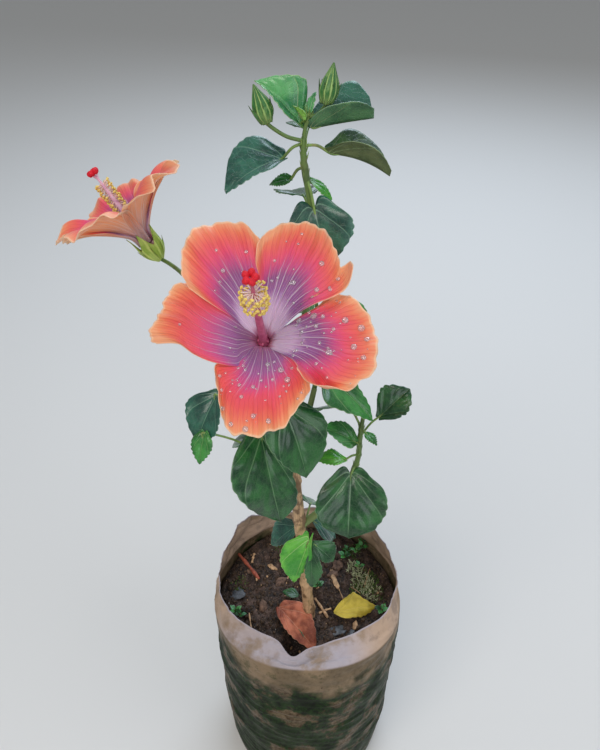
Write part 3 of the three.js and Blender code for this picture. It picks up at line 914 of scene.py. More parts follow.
@cache
def ball_template(detail: int) -> tuple[Array, Array]:
    """Models a ball once, to be copied.

    Args:
        detail: how finely it is divided.

    Returns:
        Its vertices, one unit from its middle, and its faces.
    """
    bpy.ops.mesh.primitive_ico_sphere_add(subdivisions=detail, radius=1)
    ball = bpy.context.object
    spots = np.array([v.co[:] for v in ball.data.vertices])
    faces = np.array([list(p.vertices) for p in ball.data.polygons])
    bpy.data.objects.remove(ball)
    return spots, faces


def two_sided(heap: Heap, top: Array, thickness: Array, marks: Array, above: Finish, below: Finish) -> None:
    """Adds a thin closed blade: its upper skin, its underside and its rim.

    Args:
        heap: where it goes.
        top: the upper skin's places, rows by columns.
        thickness: how thick the blade is at each place, in mm.
        marks: the pattern coordinates of each place.
        above: the finish of the upper skin.
        below: the finish of the underside.
    """
    along, across = np.gradient(top, axis=0), np.gradient(top, axis=1)
    under = top - unit(np.cross(across, along)) * thickness[..., None]
    spots = np.concatenate([top.reshape(-1, 3), under.reshape(-1, 3)])
    number = np.arange(thickness.size).reshape(thickness.shape)
    a, b, c, d = number[:-1, :-1], number[:-1, 1:], number[1:, 1:], number[1:, :-1]
    faces = np.stack([a, b, c, d], -1).reshape(-1, 4)
    border = np.concatenate([number[0, :-1], number[:-1, -1], number[-1, :0:-1], number[:0:-1, 0]])
    after = np.roll(border, -1)
    rim = np.stack([after, border, border + number.size, after + number.size], -1)
    skin, back = heap.number(above), heap.number(below)
    heap.add(spots, np.concatenate([faces, faces[:, ::-1] + number.size, rim]),
             [skin] * len(faces) + [back] * len(faces) + [skin] * len(rim),
             np.concatenate([marks.reshape(-1, 2)] * 2))


# Leaves

ROUND = (0.5, 0.86, 1.0, 0.97, 0.84, 0.62, 0.34, 0.03)  # an even blade's half widths from base to tip
TOOTH = np.array([-0.6, 0.0, 0.5, 0.3])  # the rows of one tooth, as shares of its size
MAIN_HOLLOW = 0.045  # how wide the skin sinks over the main veins, as a share of the blade's length
SMALL_HOLLOW = 0.06
SMALL_DEPTH = 0.45  # how deep it sinks over the small ones, as a share of that over the main ones
BLADE_THICKNESS = 0.32  # mm
RIB_THICKNESS = 0.8  # mm more at the midrib's foot
RIB_WIDTH = 1.1
CELL = 2.6  # mm, the width of the faces across a blade
MOST_CELLS = 14
LEAST_CELLS = 8


@dataclass
class Leaf:
    """One leaf: where its blade begins, how it is turned, its outline and its folds."""

    base: Spot
    heading: float
    pitch: float
    length: float
    width: float
    roll: float = 0.0
    at: float = 1.0  # where on the stem its stalk leaves, from 0 to 1
    tone: Tone = Tone.DEEP
    curl: float = 24.0  # degrees that the midrib droops from base to tip
    fold: float = 10.0  # degrees that each half is folded up
    left: Sequence[float] = ()  # half widths in mm from base to tip, or none for an even blade
    right: Sequence[float] = ()
    teeth: int = 8
    tooth: float = 1.1
    quilt: float = 0.9  # mm, how far the blade swells between its veins
    wave: float = 1.0  # mm, how far its edge waves
    sweep: float = 0.0  # mm that the tip swings to the right
    lobe: float = 0.1  # how far the base runs back beside the stalk, as a share of the length
    skin: tuple[Finish, Finish] | None = None

    def axes(self) -> tuple[Array, Array, Array]:
        """Works out how the blade is turned.

        Returns:
            Its directions ahead, to its right and up.
        """
        ahead = direction(self.heading, self.pitch)
        side = unit(np.cross(ahead, UP))
        up = np.cross(side, ahead)
        return ahead, turned(side, -up, self.roll), turned(up, side, self.roll)

    def half_width(self, s: Array, x: Array) -> Array:
        """Gives how far out the edge is on the side of x."""
        even = [self.width / 2 * share for share in ROUND]
        return np.where(x < 0, smooth_row(self.left or even, s), smooth_row(self.right or even, s)).clip(0.3)

    def between_veins(self, s: Array, far: Array) -> Array:
        """Gives how far a place is from the veins.

        Args:
            s: along the blade, from 0 to 1.
            far: out from the midrib, from 0 to 1 at the edge.

        Returns:
            0 on the veins and 1 well away from them.
        """
        wide = BLADE_ASPECT * far
        angle, reach = np.arctan2(wide, s + 0.005), np.hypot(wide, s)
        apart = np.min([wide] + [np.abs(angle - way) * reach for way in MAIN_VEINS], axis=0)
        phase = (s - SIDE_SLOPE * far) / SIDE_PITCH
        small = np.where(phase > 0.6, np.abs(phase - np.rint(phase)) * SIDE_PITCH, 1)
        return (1 - peak(apart, MAIN_HOLLOW)) * (1 - SMALL_DEPTH * peak(small, SMALL_HOLLOW))

    def surface(self, s: Array, x: Array, relief: bool = True) -> Array:
        """Gives the upper skin's places.

        Args:
            s: along the blade, from 0 at its base to 1 at its tip.
            x: across it, from -1 at its left edge to 1 at its right.
            relief: whether the teeth, waves and quilting are on it.

        Returns:
            The places in mm.
        """
        ahead, side, up = self.axes()
        far = np.abs(x)
        half = self.half_width(s, x) * x
        droop = math.radians(self.curl) * s / 2
        fold = math.radians(self.fold)
        forward = self.length * s * np.cos(droop)
        forward = forward - self.lobe * self.length * np.sin(math.pi * far ** 0.8) * (1 - s) ** 5
        height = np.abs(half) * math.sin(fold) - self.length * s * np.sin(droop)
        if relief:
            notch = TOOTH[np.rint(s * len(TOOTH) * self.teeth).astype(int) % len(TOOTH)]
            toothed = step(far, 0.8, 1.0) * step(s, 0.2, 0.5) * step(1 - s, 0, 0.1)
            bite = notch * self.tooth * toothed * np.sign(x)
            half = half + bite
            forward = forward + np.abs(bite) * 0.4
            height = height + self.quilt * self.between_veins(s, far) * (1 - far ** 4) * step(1 - s, 0, 0.2)
            seed = int(abs(self.base[0]) * 7 + abs(self.base[2]) * 3)
            edge = swell(np.stack([s * self.length, x * 9], -1), 15.0, seed, 6)
            height = height + self.wave * edge * far ** 2
        across = half * math.cos(fold) + self.sweep * s * s
        return (np.array(self.base) + forward[..., None] * ahead
                + across[..., None] * side + height[..., None] * up)

    def grow(self, heap: Heap) -> None:
        """Adds the blade to a heap of leaves.

        Args:
            heap: where it goes.
        """
        rows = len(TOOTH) * self.teeth + 1
        cells = round(max([self.width, *self.left, *self.right]) / CELL)
        columns = 2 * min(MOST_CELLS, max(LEAST_CELLS, cells)) + 1
        s, x = np.meshgrid(shares(rows), np.linspace(-1, 1, columns), indexing="ij")
        x = np.sign(x) * np.abs(x) ** 0.9
        rib = peak(self.half_width(s, x) * x, RIB_WIDTH) * (1 - s) ** 0.6
        above, below = self.skin or (self.tone.above, self.tone.below)
        two_sided(heap, self.surface(s, x), BLADE_THICKNESS + RIB_THICKNESS * rib,
                  np.stack([(x + 1) / 2, s], -1), above, below)

    def stalk(self, heap: Heap, foot: Array) -> None:
        """Adds the stalk from the stem to the blade's midrib.

        Args:
            heap: where it goes.
            foot: where it leaves the stem.
        """
        base, up = np.array(self.base), self.axes()[2]
        inward = self.surface(np.array([5 / self.length]), np.array([0.0]), False)[0] - up * 0.5
        middle = (foot + base) / 2 + UP * np.linalg.norm(base - foot) * 0.12
        path = smooth_row([foot, middle, base - up * 0.4, inward], shares(16))
        heap.tube(path, {0: 1.425, 0.1: 0.95, 0.8: 0.8075, 1: 0.475}, 8, STALK)

    def stipules(self, heap: Heap, foot: Array) -> None:
        """Adds the two thin stipules where the stalk leaves the stem.

        Args:
            heap: where they go.
            foot: where the stalk leaves the stem.
        """
        way = unit(np.array(self.base) - foot)
        side = unit(np.cross(way, UP))
        reach = shares(6)[:, None]
        for out in (-side, side):
            path = foot + out * (1.4 + 1.6 * reach) + way * 1.2 + UP * 5.5 * reach
            heap.tube(path, {0: 0.5, 0.4: 0.45, 1: 0.08}, 5, STALK, 0.5)


# The tested points of a blade, as in the model
TESTED = ((0, 0), (0.25, 0.9), (0.25, -0.9), (0.5, 0), (0.5, 0.9), (0.5, -0.9), (0.8, 0.7), (0.8, -0.7),
          (1, 0))
CURL, FOLD = 24.0, 10.0  # of the model's blades, in degrees
GREENS = (Tone.DEEP, Tone.SHEEN_TEAL, Tone.FRESH, Tone.DEEP)  # dealt to the leaves of a rule in turn


def blade_tests(leaf: Leaf) -> Array:
    """Gives the points of the model's blade that its rule tests.

    Args:
        leaf: the leaf.

    Returns:
        The points in mm.
    """
    ahead, side, up = leaf.axes()
    s, x = np.array(TESTED).T[..., None]
    droop, fold = math.radians(CURL) * s / 2, math.radians(FOLD)
    outline = np.maximum(np.sin(math.pi * np.minimum(1, 0.12 + s ** 0.72 * 0.88)) ** 0.8, 0.06)
    half = leaf.width / 2 * outline * x
    height = np.abs(half) * math.sin(fold) - leaf.length * s * np.sin(droop)
    return (np.array(leaf.base) + ahead * leaf.length * s * np.cos(droop)
            + side * half * math.cos(fold) + up * height)


@dataclass
class Rule:
    """How a mass grows the leaves that no picture places."""

    count: int
    start: float
    end: float
    heading: float
    stalk: float
    length: float
    pitch: float

    def leaves(self, seed: int, path: Sequence[Spot]) -> list[Leaf]:
        """Grows the leaves, each a golden turn round the stem from the last.

        Args:
            seed: the mass's seed.
            path: its stem.

        Returns:
            The leaves, before any is left out.
        """
        chance = partial(next, draws(seed))
        grown = []
        for i in range(self.count):
            at = self.start + (self.end - self.start) * (i + 0.5) / self.count
            turn = self.heading + GOLDEN_TURN * i + (chance() - 0.5) * 24
            size = self.length * (0.8 + 0.4 * chance())
            way = direction(turn, 25 + 20 * chance())
            base = smooth_row(path, at) + way * self.stalk * (0.8 + 0.5 * chance())
            pitch = self.pitch + (chance() - 0.5) * 30
            roll = (chance() - 0.5) * 30
            tone = GREENS[i % len(GREENS)]
            grown.append(Leaf(tuple(base), turn, pitch, size, size * 0.78, roll, at, tone, CURL, FOLD))
        return grown


BRACT = {0: 0.7, 0.5: 0.6, 1: 0.12}  # the radii in mm of a thin green bract, by share of its length


@dataclass
class Bud:
    """A closed flower bud on its own stalk, with ridges and a ring of thin bracts."""

    at: float
    base: Spot
    tip: Spot
    radius: float
    ridges: int = 5
    bracts: int = 7
    sides: int = 40
    outline: Sequence[float] = (0.34, 0.8, 1, 0.98, 0.84, 0.6, 0.34, 0.08)

    def grow(self, heap: Heap, foot: Array) -> None:
        """Adds the bud, its stalk and its bracts.

        Args:
            heap: where they go.
            foot: where the stalk leaves the stem.
        """
        base, tip = np.array(self.base), np.array(self.tip)
        length, axis = np.linalg.norm(tip - base), unit(tip - base)
        middle = (foot + base) / 2 - UP * 2
        neck = base + (tip - base) * 0.2
        path = smooth_row([foot, middle, base, neck], shares(20))
        heap.tube(path, {0: 1.2, 0.7: 1.1, 1: 1.8}, 10, SHOOT)
        t = shares(self.sides)
        turn = np.linspace(0, TURN, self.sides, endpoint=False)
        ridge = 1 + 0.13 * np.cos(self.ridges * turn / 2)[None] ** 6 * np.sin(math.pi * t)[:, None]
        egg = smooth_row(self.outline, t)[:, None] * self.radius * ridge
        heap.tube(base + np.multiply.outer(t * length, axis), egg, self.sides, BUD)
        side = unit(np.cross(axis, UP + 0.3))
        reach = shares(12)[:, None]
        stand = self.radius * 0.5 + (self.radius * 0.62 + 0.5) * reach ** 0.7
        for k in range(self.bracts):
            out = turned(side, np.cross(axis, side), 360 * (k + 0.5) / self.bracts)
            heap.tube(base + axis * (0.5 + 0.55 * length * reach) + out * stand, BRACT, 6, BUD, 0.5)


# Blooms

RUFFLES = ((3.0, 1.1), (5.5, 0.8))  # waves along a petal's rim: how close, and how high as a share
FRILLS = ((9.5, 0.5), (15.0, 0.22))


@dataclass
class Petal:
    """One petal: its outline in its own plane, in mm, and how it lifts out of that plane.

    Each outline point is (along, across): along from the throat, across to the petal's left
    as it is seen from the front with its tip up. Its sides run on to the ends of its rim.
    """

    turn: float  # degrees clockwise from up, as seen from the front
    left: Sequence[Flat]
    rim: Sequence[Flat]
    right: Sequence[Flat]
    tilt: float = 71.0  # degrees between the petal's plane and the column
    belly: float = 5.0  # mm that it arches towards the viewer
    recurve: float = 3.0  # mm that its rim falls back
    lift: Sequence[float] = (0.0, 0.0, 0.0)  # mm at its left edge, middle and right edge
    ruffle: float = 1.6
    seed: int = 1
    pale: bool = True
    folds: Sequence[tuple[float, ...]] = ()  # s, x, reach in s and x, and lift
    frill: float = 1.0  # how much of the finer ruffles it has

    def flat(self, s: Array, x: Array) -> Array:
        """Gives the places in the petal's plane.

        Args:
            s: along the petal, from 0 to 1.
            x: across it, from -1 to 1.

        Returns:
            How far along and how far across they are, in mm.
        """
        t = ((x + 1) / 2)[..., None]
        first, last = self.rim[0], self.rim[-1]
        rim = even_path(self.rim, t[..., 0]) - (1 - t) * first - t * last
        left, right = even_path([*self.left, first], s), even_path([*self.right, last], s)
        return (1 - t) * left + t * right + s[..., None] * rim

    def height(self, s: Array, x: Array, reach: Array) -> Array:
        """Gives the lift out of the petal's plane.

        Args:
            s: along the petal, from 0 to 1.
            x: across it, from -1 to 1.
            reach: how far along its plane the places are, in mm.

        Returns:
            The lift in mm.
        """
        far = np.clip(reach / max(p[0] for p in self.rim), 0, 1.1)
        lift = self.belly * 4 * far * (1 - far) - self.recurve * far ** 4
        lift = lift - 7 * (1 - np.clip(reach / 9, 0, 1)) ** 2
        low, middle, high = self.lift
        tilted = middle + (np.where(x < 0, low, high) - middle) * x * x
        lift = lift + tilted * step(far, 0.1, 0.55)
        chance = np.random.default_rng(self.seed)
        edge = step(s, 0.45, 1.0) ** 1.5
        for count, size in (*RUFFLES, *((count, size * self.frill) for count, size in FRILLS)):
            turn = chance.uniform(0, TURN)
            lift = lift + self.ruffle * size * edge * np.sin(count * x * 2.2 + turn + 2 * s)
        pleats = np.sin(x * 46 + 1.5 * np.sin(x * 9 + self.seed)) * 0.5 + np.sin(x * 83 + self.seed) * 0.3
        lift = lift + 0.2 * pleats * step(s, 0.1, 0.4) - 0.9 * peak(x, 0.05) * (1 - s)
        for place, across, reach_s, reach_x, rise in self.folds:
            lift = lift + rise * peak(s - place, reach_s) * peak(x - across, reach_x)
        return lift


@dataclass
class Bloom:
    """A flower: petals round a column, on a calyx, facing along its own axis."""

    name: str
    node: str  # the CAD node that it stands for
    heading: float
    rise: float
    throat: Spot
    petals: Sequence[Petal]
    column: float  # mm from the throat to the column's end
    cloud: float  # mm, the reach of its anthers
    anthers: int = 74
    drops: Sequence[tuple[int, float, float, float]] = ()  # petal, s, x and radius in mm
    tube: float = 20.0
    calyx: float = 20.0
    bend: Spot = (0.0, 0.0, 0.0)  # how far the column's end is bent aside
    anther_zone: Flat = (0.68, 0.84)  # where on the column its anthers stand
    cup: float = 1.0  # how wide the calyx is, as a share of the usual
    wood: Finish = COLUMN
    parting: float | None = None  # the turn where its anthers part, in degrees
    part: float = 38.0  # degrees on each side of the parting
    spray: Sequence[tuple[int, int]] = ()  # petal and count of the small drops strewn on it
    thickness: float = 0.35  # mm, of a petal
    lobes: int = 5
    bracts: int = 7
    neck_radii: Sequence[float] = (2.0, 4.4, 5.2, 5.4, 5.0, 3.6)
    calyx_radii: Sequence[float] = (1.9, 5.0, 6.8, 7.3, 7.5, 8.0, 9.0)

    def axes(self) -> tuple[Array, Array, Array]:
        """Works out how the flower is turned.

        Returns:
            The column's direction, up as seen along it, and the viewer's right.
        """
        out = direction(self.heading, self.rise)
        up = unit(UP - out * out[2])
        return out, up, np.cross(up, out)

    def place(self, far: float | Array) -> Array:
        """Gives the places on the column's line, which is bent aside towards its end.

        Args:
            far: how far they are from the throat, in mm.

        Returns:
            The places in mm.
        """
        far = np.asarray(far, float)
        share = np.clip(far / self.column, 0, 1.3) ** 2
        return (np.array(self.throat) + np.multiply.outer(far, self.axes()[0])
                + np.multiply.outer(share, np.array(self.bend)))

    def on_petal(self, petal: Petal, s: Array, x: Array) -> Array:
        """Gives the places of a petal's front skin.

        Args:
            petal: the petal.
            s: along it, from 0 to 1.
            x: across it, from -1 to 1.

        Returns:
            The places in mm.
        """
        out, up, right = self.axes()
        away = turned(up, right, petal.turn)
        ahead = turned(out, away, petal.tilt)
        across = np.cross(out, away)
        flat = petal.flat(s, x)
        scallop = 0.7 * np.sin(17 * x + petal.seed) + 0.45 * np.sin(37 * x + 2 * petal.seed)
        flat = flat * (1 + 0.012 * petal.frill * scallop * s ** 8)[..., None]
        lift = petal.height(s, x, flat[..., 0])[..., None] * np.cross(ahead, across)
        return np.array(self.throat) + flat[..., :1] * ahead + flat[..., 1:] * across + lift

    def build_petals(self) -> None:
        """Builds each petal as its own piece, thin and closed."""
        for number, petal in enumerate(self.petals, 1):
            finishes = [PALE_PETAL if petal.pale else DARK_PETAL, PETAL_BACK]
            piece = sheet(f"{self.name}_petal_{number}", 96, 76, partial(self.on_petal, petal), finishes,
                          self.thickness)
            settle(piece, "petal", [self.node] if number == 1 else [])

    def build_calyx(self) -> None:
        """Builds the tube behind the petals, the calyx with its pointed lobes, and its bracts."""
        out, up, right = self.axes()
        heap = Heap(CALYX, NECK)
        start = -self.tube - self.calyx * 0.8
        neck = smooth_row(self.neck_radii, shares(24))
        heap.tube(self.place(np.linspace(start + 4, -2, 24)), neck, 30, NECK)
        heap.blob(self.place(-2.5), (4.0, 4.0, 2.2), THROAT, np.stack([right, up, out]), 3)
        t, turn = np.meshgrid(shares(30), TURN * shares(81), indexing="ij")
        saw = np.abs((self.lobes * turn / TURN) % 1 * 2 - 1)
        far = start + self.calyx * (0.62 + 0.62 * saw ** 1.4) * t
        radius = smooth_row(self.calyx_radii, (far - start) / (self.calyx * 1.24)) * self.cup
        radius = radius * (1 + 0.035 * np.cos(2 * self.lobes * turn) * np.sin(math.pi * t))
        spots = (self.place(far) + (radius * np.cos(turn))[..., None] * up
                 + (radius * np.sin(turn))[..., None] * right)
        two_sided(heap, spots, np.full(t.shape, 0.5), np.stack([turn / TURN, t], -1), CALYX, CALYX)
        reach = shares(12)
        stand = 3.4 + (self.cup * 5.4 + 1.5) * reach ** 0.6
        for k in range(self.bracts):
            spread = turned(up, right, 360 / self.bracts * k + 8)
            heap.tube(self.place(start + 2 + 12 * reach) + stand[:, None] * spread, BRACT, 6, CALYX, 0.5)
        heap.finish(f"{self.name}_calyx", "leaf")

    def build_column(self) -> None:
        """Builds the column with the five nubs at its foot."""
        _, up, right = self.axes()
        heap = Heap()
        radii = {0: 3.0, 0.12: 2.5, 0.6: 2.1, 0.72: 1.8, 0.86: 1.2, 1: 0.8}
        heap.tube(self.place(-6 + (self.column + 3) * shares(40)), radii, 20, self.wood)
        for k in range(self.lobes):
            spread = turned(up, right, 360 / self.lobes * k + 40)
            heap.blob(self.place(1.0) + spread * 3.0, (0.7, 0.7, 1.0), COLUMN, None, 2, 0.1, k)
        heap.finish(f"{self.name}_column", "petal")

    def build_anthers(self) -> None:
        """Builds the filaments round the column, and the anther at the end of each."""
        _, up, right = self.axes()
        chance = np.random.default_rng(len(self.name))
        threads, pollen = Heap(), Heap()
        low, high = self.anther_zone
        ahead = unit(self.place(self.column) - self.place(self.column * low))
        for k in range(self.anthers):
            turn = GOLDEN_TURN * k
            if self.parting is not None and abs((turn - self.parting + 180) % 360 - 180) < self.part:
                continue
            share = (k + 0.5) / self.anthers
            foot = self.place(self.column * (low + (high - low) * share))
            spread = turned(up, right, turn)
            spread = unit(spread - ahead * (spread @ ahead))
            lean = 0.45 - 0.75 * share + chance.uniform(-0.12, 0.12)
            reach = self.cloud * chance.uniform(0.82, 1.0)
            tip = foot + unit(spread - ahead * lean) * reach
            middle = (foot + tip) / 2 + ahead * 0.4
            threads.tube(smooth_row([foot, middle, tip], shares(5)), {0: 0.3}, 5, FILAMENT)
            side = np.cross(ahead, spread)
            spin = math.degrees(chance.uniform(-0.5, 0.5))
            axes = np.stack([spread, turned(side, ahead, spin), turned(ahead, -side, spin)])
            pollen.blob(tip, (0.8, 1.25, 0.95), ANTHER, axes, 2, 0.16, k)
        threads.finish(f"{self.name}_filaments", "petal")
        pollen.finish(f"{self.name}_anthers", "petal")

    def build_stigmas(self) -> None:
        """Builds the five stigmas at the column's end, each a pad on a short arm."""
        _, up, right = self.axes()
        ahead = unit(self.place(self.column) - self.place(self.column * self.anther_zone[0]))
        pads = Heap(STIGMA)
        for k in range(self.lobes):
            spread = turned(up, right, 360 / self.lobes * k + 12)
            tip = self.place(self.column) + spread * 2.6
            arm = [self.place(self.column * 0.9), self.place(self.column * 0.95) + spread, tip]
            pads.tube(smooth_row(arm, shares(8)), {0: 0.5}, 8, self.wood)
            axes = np.stack([spread, np.cross(ahead, spread), ahead])
            pads.blob(tip + ahead * 0.9, (2.1, 2.1, 2.2), STIGMA, axes, 3, 0.08, k)
        pads.finish(f"{self.name}_stigmas", "petal")

    def build_drops(self) -> None:
        """Builds the rain drops that lie on the petals."""
        chance = np.random.default_rng(31)
        strewn = [(number, chance.uniform(0.3, 0.96), chance.uniform(-0.85, 0.85),
                   0.3 + 0.7 * chance.uniform() ** 2) for number, count in self.spray for _ in range(count)]
        heap = Heap()
        for number, s, x, radius in [*self.drops, *strewn]:
            near = self.on_petal(self.petals[number], np.array([s, s, s + 0.01]), np.array([x, x + 0.01, x]))
            side = unit(near[1] - near[0])
            normal = unit(np.cross(near[1] - near[0], near[2] - near[0]))
            wide = radius * 1.15
            axes = np.stack([side, np.cross(normal, side), normal])
            heap.blob(near[0] + normal * wide * 0.2, (wide, wide, wide * 0.52), WATER, axes, 3)
        heap.finish(f"{self.name}_drops", "petal")

    def build(self) -> None:
        """Builds the whole flower."""
        self.build_petals()
        self.build_calyx()
        self.build_column()
        self.build_anthers()
        self.build_stigmas()
        if self.drops:
            self.build_drops()


# Limbs and masses

RING_PITCH = 0.9  # mm from ring to ring of a limb
SCAR_REACH = 3.5  # mm, of the swollen ring round a leaf scar
JOINT_REACH = 0.03  # of a thin stem's length, round each stalk


@dataclass
class Limb:
    """A tapering limb along a smooth curve, with the relief of its bark."""

    name: str
    path: Sequence[Spot]
    radii: Sequence[float]
    finish: Finish
    slot: str
    scars: Sequence[float]  # where leaves have left a swollen ring, from 0 to 1
    sides: int = 32
    start: float = 0.0
    swelling: float = 0.2  # how much thicker it is at a scar

    def build(self) -> None:
        """Builds the limb as a closed tube with swollen joints and fine furrows."""
        length = sum(math.dist(a, b) for a, b in zip(self.path, self.path[1:]))
        t = np.linspace(self.start, 1, 2 + round(length / RING_PITCH))
        path = smooth_row(self.path, t)
        radii = np.interp(t, shares(len(self.radii)), self.radii)[:, None]
        turn = np.linspace(0, TURN, self.sides, endpoint=False)[None]
        along = np.linalg.norm(np.gradient(path, axis=0), axis=1).cumsum()[:, None]
        spots = np.stack(np.broadcast_arrays(np.cos(turn) * 5, np.sin(turn) * 5, along * 0.25), -1)
        relief = 0.28 * swell(spots, 1.6, 3, 12) + 0.18 * creases(spots, 1.1, 5)
        rings = sum(peak((t - scar) * len(t) * RING_PITCH, SCAR_REACH) for scar in self.scars)
        full = radii * (1 + self.swelling * rings[:, None]) + relief * np.minimum(radii * 0.12, 0.5)
        heap = Heap()
        heap.tube(path, full, self.sides, self.finish)
        heap.finish(f"{self.name}_bark", self.slot, [self.name])


@dataclass
class Space:
    """The room that a mass keeps to, an ellipsoid."""

    middle: Spot
    reach: Spot

    def holds(self, places: Array) -> bool:
        """Tells whether all the places are inside."""
        away = (places - np.array(self.middle)) / np.array(self.reach)
        return bool((np.linalg.norm(away, axis=1) <= 1).all())


@dataclass
class Mass:
    """A mass of foliage on one stem: its placed leaves, its buds and the leaves of its rule."""

    name: str
    path: Sequence[Spot]
    radii: Sequence[float]
    seed: int
    space: Space
    rule: Rule
    leaves: Sequence[Leaf] = ()
    buds: Sequence[Bud] = ()
    bloom: Bloom | None = None
    rings: int = 60
    swelling: float = 0.22  # how much thicker the stem is where a stalk leaves it
    grown: list[Leaf] = field(default_factory=list)

    def build(self) -> None:
        """Builds the stem with its stalks and buds, the leaves, and the bloom."""
        stems, blades = Heap(), Heap()
        t = shares(self.rings)
        leaves = [*self.leaves, *self.grown]
        joints = sum((peak(t - leaf.at, JOINT_REACH) for leaf in leaves), np.zeros(self.rings))
        radii = np.interp(t, shares(len(self.radii)), self.radii)
        radii = radii * (1 + self.swelling * np.minimum(joints, 1.2))
        stems.tube(smooth_row(self.path, t), radii, 16, SHOOT)
        for leaf in leaves:
            leaf.grow(blades)
            foot = smooth_row(self.path, leaf.at)
            leaf.stalk(stems, foot)
            leaf.stipules(stems, foot)
        for bud in self.buds:
            bud.grow(stems, smooth_row(self.path, bud.at))
        stems.finish(f"{self.name}_stems", "leaf", [] if self.bloom else [self.name])
        if blades.count:
            blades.finish(f"{self.name}_leaves", "leaf")
        if self.bloom:
            self.bloom.build()


@dataclass
class Guard:
    """Places that the leaves of other masses keep clear of."""

    owner: str
    places: Array
    room: float

    def touches(self, places: Array) -> bool:
        """Tells whether any of the places is within its room."""
        return bool((np.linalg.norm(places[:, None] - self.places, axis=-1) <= self.room).any())


# How far in mm a rule's leaves keep from what is there, as in the model
TRUNK_ROOM, BOUGH_ROOM, STEM_ROOM, LEAF_ROOM, PETAL_ROOM = 11, 9, 8, 12, 17
# The points of a petal that they keep from, along it and across it
PETAL_TESTS = (np.array([0.15, 0.4, 0.65, 0.65, 0.65, 0.92, 0.92, 0.92]),
               np.array([0, 0, 0, 0.8, -0.8, 0, 0.6, -0.6]))
# How far they keep, here only, from their own mass's placed leaves and from its bloom's calyx
OWN_ROOM, CALYX_ROOM = 9, 12
CALYX_TESTS = (-20.0, -12.0, -4.0)  # mm from the throat


@dataclass
class Plant:
    """The whole plant: stem, boughs, masses and blooms."""

    trunk: Limb
    boughs: Sequence[Limb]
    masses: Sequence[Mass]

    def guards(self) -> list[Guard]:
        """Lists what the leaves of the rules keep clear of.

        Returns:
            The guards of the limbs, the placed leaves and the petals.
        """
        stems = [(self.trunk, TRUNK_ROOM)]
        stems += [(bough, BOUGH_ROOM) for bough in self.boughs] + [(mass, STEM_ROOM) for mass in self.masses]
        found = [Guard(stem.name, smooth_row(stem.path, shares(25)), room) for stem, room in stems]
        for mass in self.masses:
            found += [Guard(mass.name, blade_tests(leaf), LEAF_ROOM) for leaf in mass.leaves]
            for petal in mass.bloom.petals if mass.bloom else ():
                found.append(Guard(mass.name, mass.bloom.on_petal(petal, *PETAL_TESTS), PETAL_ROOM))
        return found

    def grow(self) -> None:
        """Grows the leaves of each mass's rule in the model's order and keeps those that fit."""
        guards = self.guards()
        for mass in self.masses:
            own = [Guard("", blade_tests(leaf), OWN_ROOM) for leaf in mass.leaves]
            if mass.bloom:
                own.append(Guard("", mass.bloom.place(CALYX_TESTS), CALYX_ROOM))
            for leaf in mass.rule.leaves(mass.seed, mass.path):
                tests = blade_tests(leaf)
                others = [guard for guard in guards if guard.owner != mass.name] + own
                if mass.space.holds(tests) and not any(guard.touches(tests) for guard in others):
                    mass.grown.append(leaf)
                    guards.append(Guard(mass.name, tests, LEAF_ROOM))

    def build(self) -> None:
        """Builds every limb and mass."""
        self.grow()
        for part in (self.trunk, *self.boughs, *self.masses):
            part.build()


# The bag and what is in it

FRONT = -90.0  # degrees, the side of the bag towards the viewer
START = 90.0  # degrees, the side of its seam


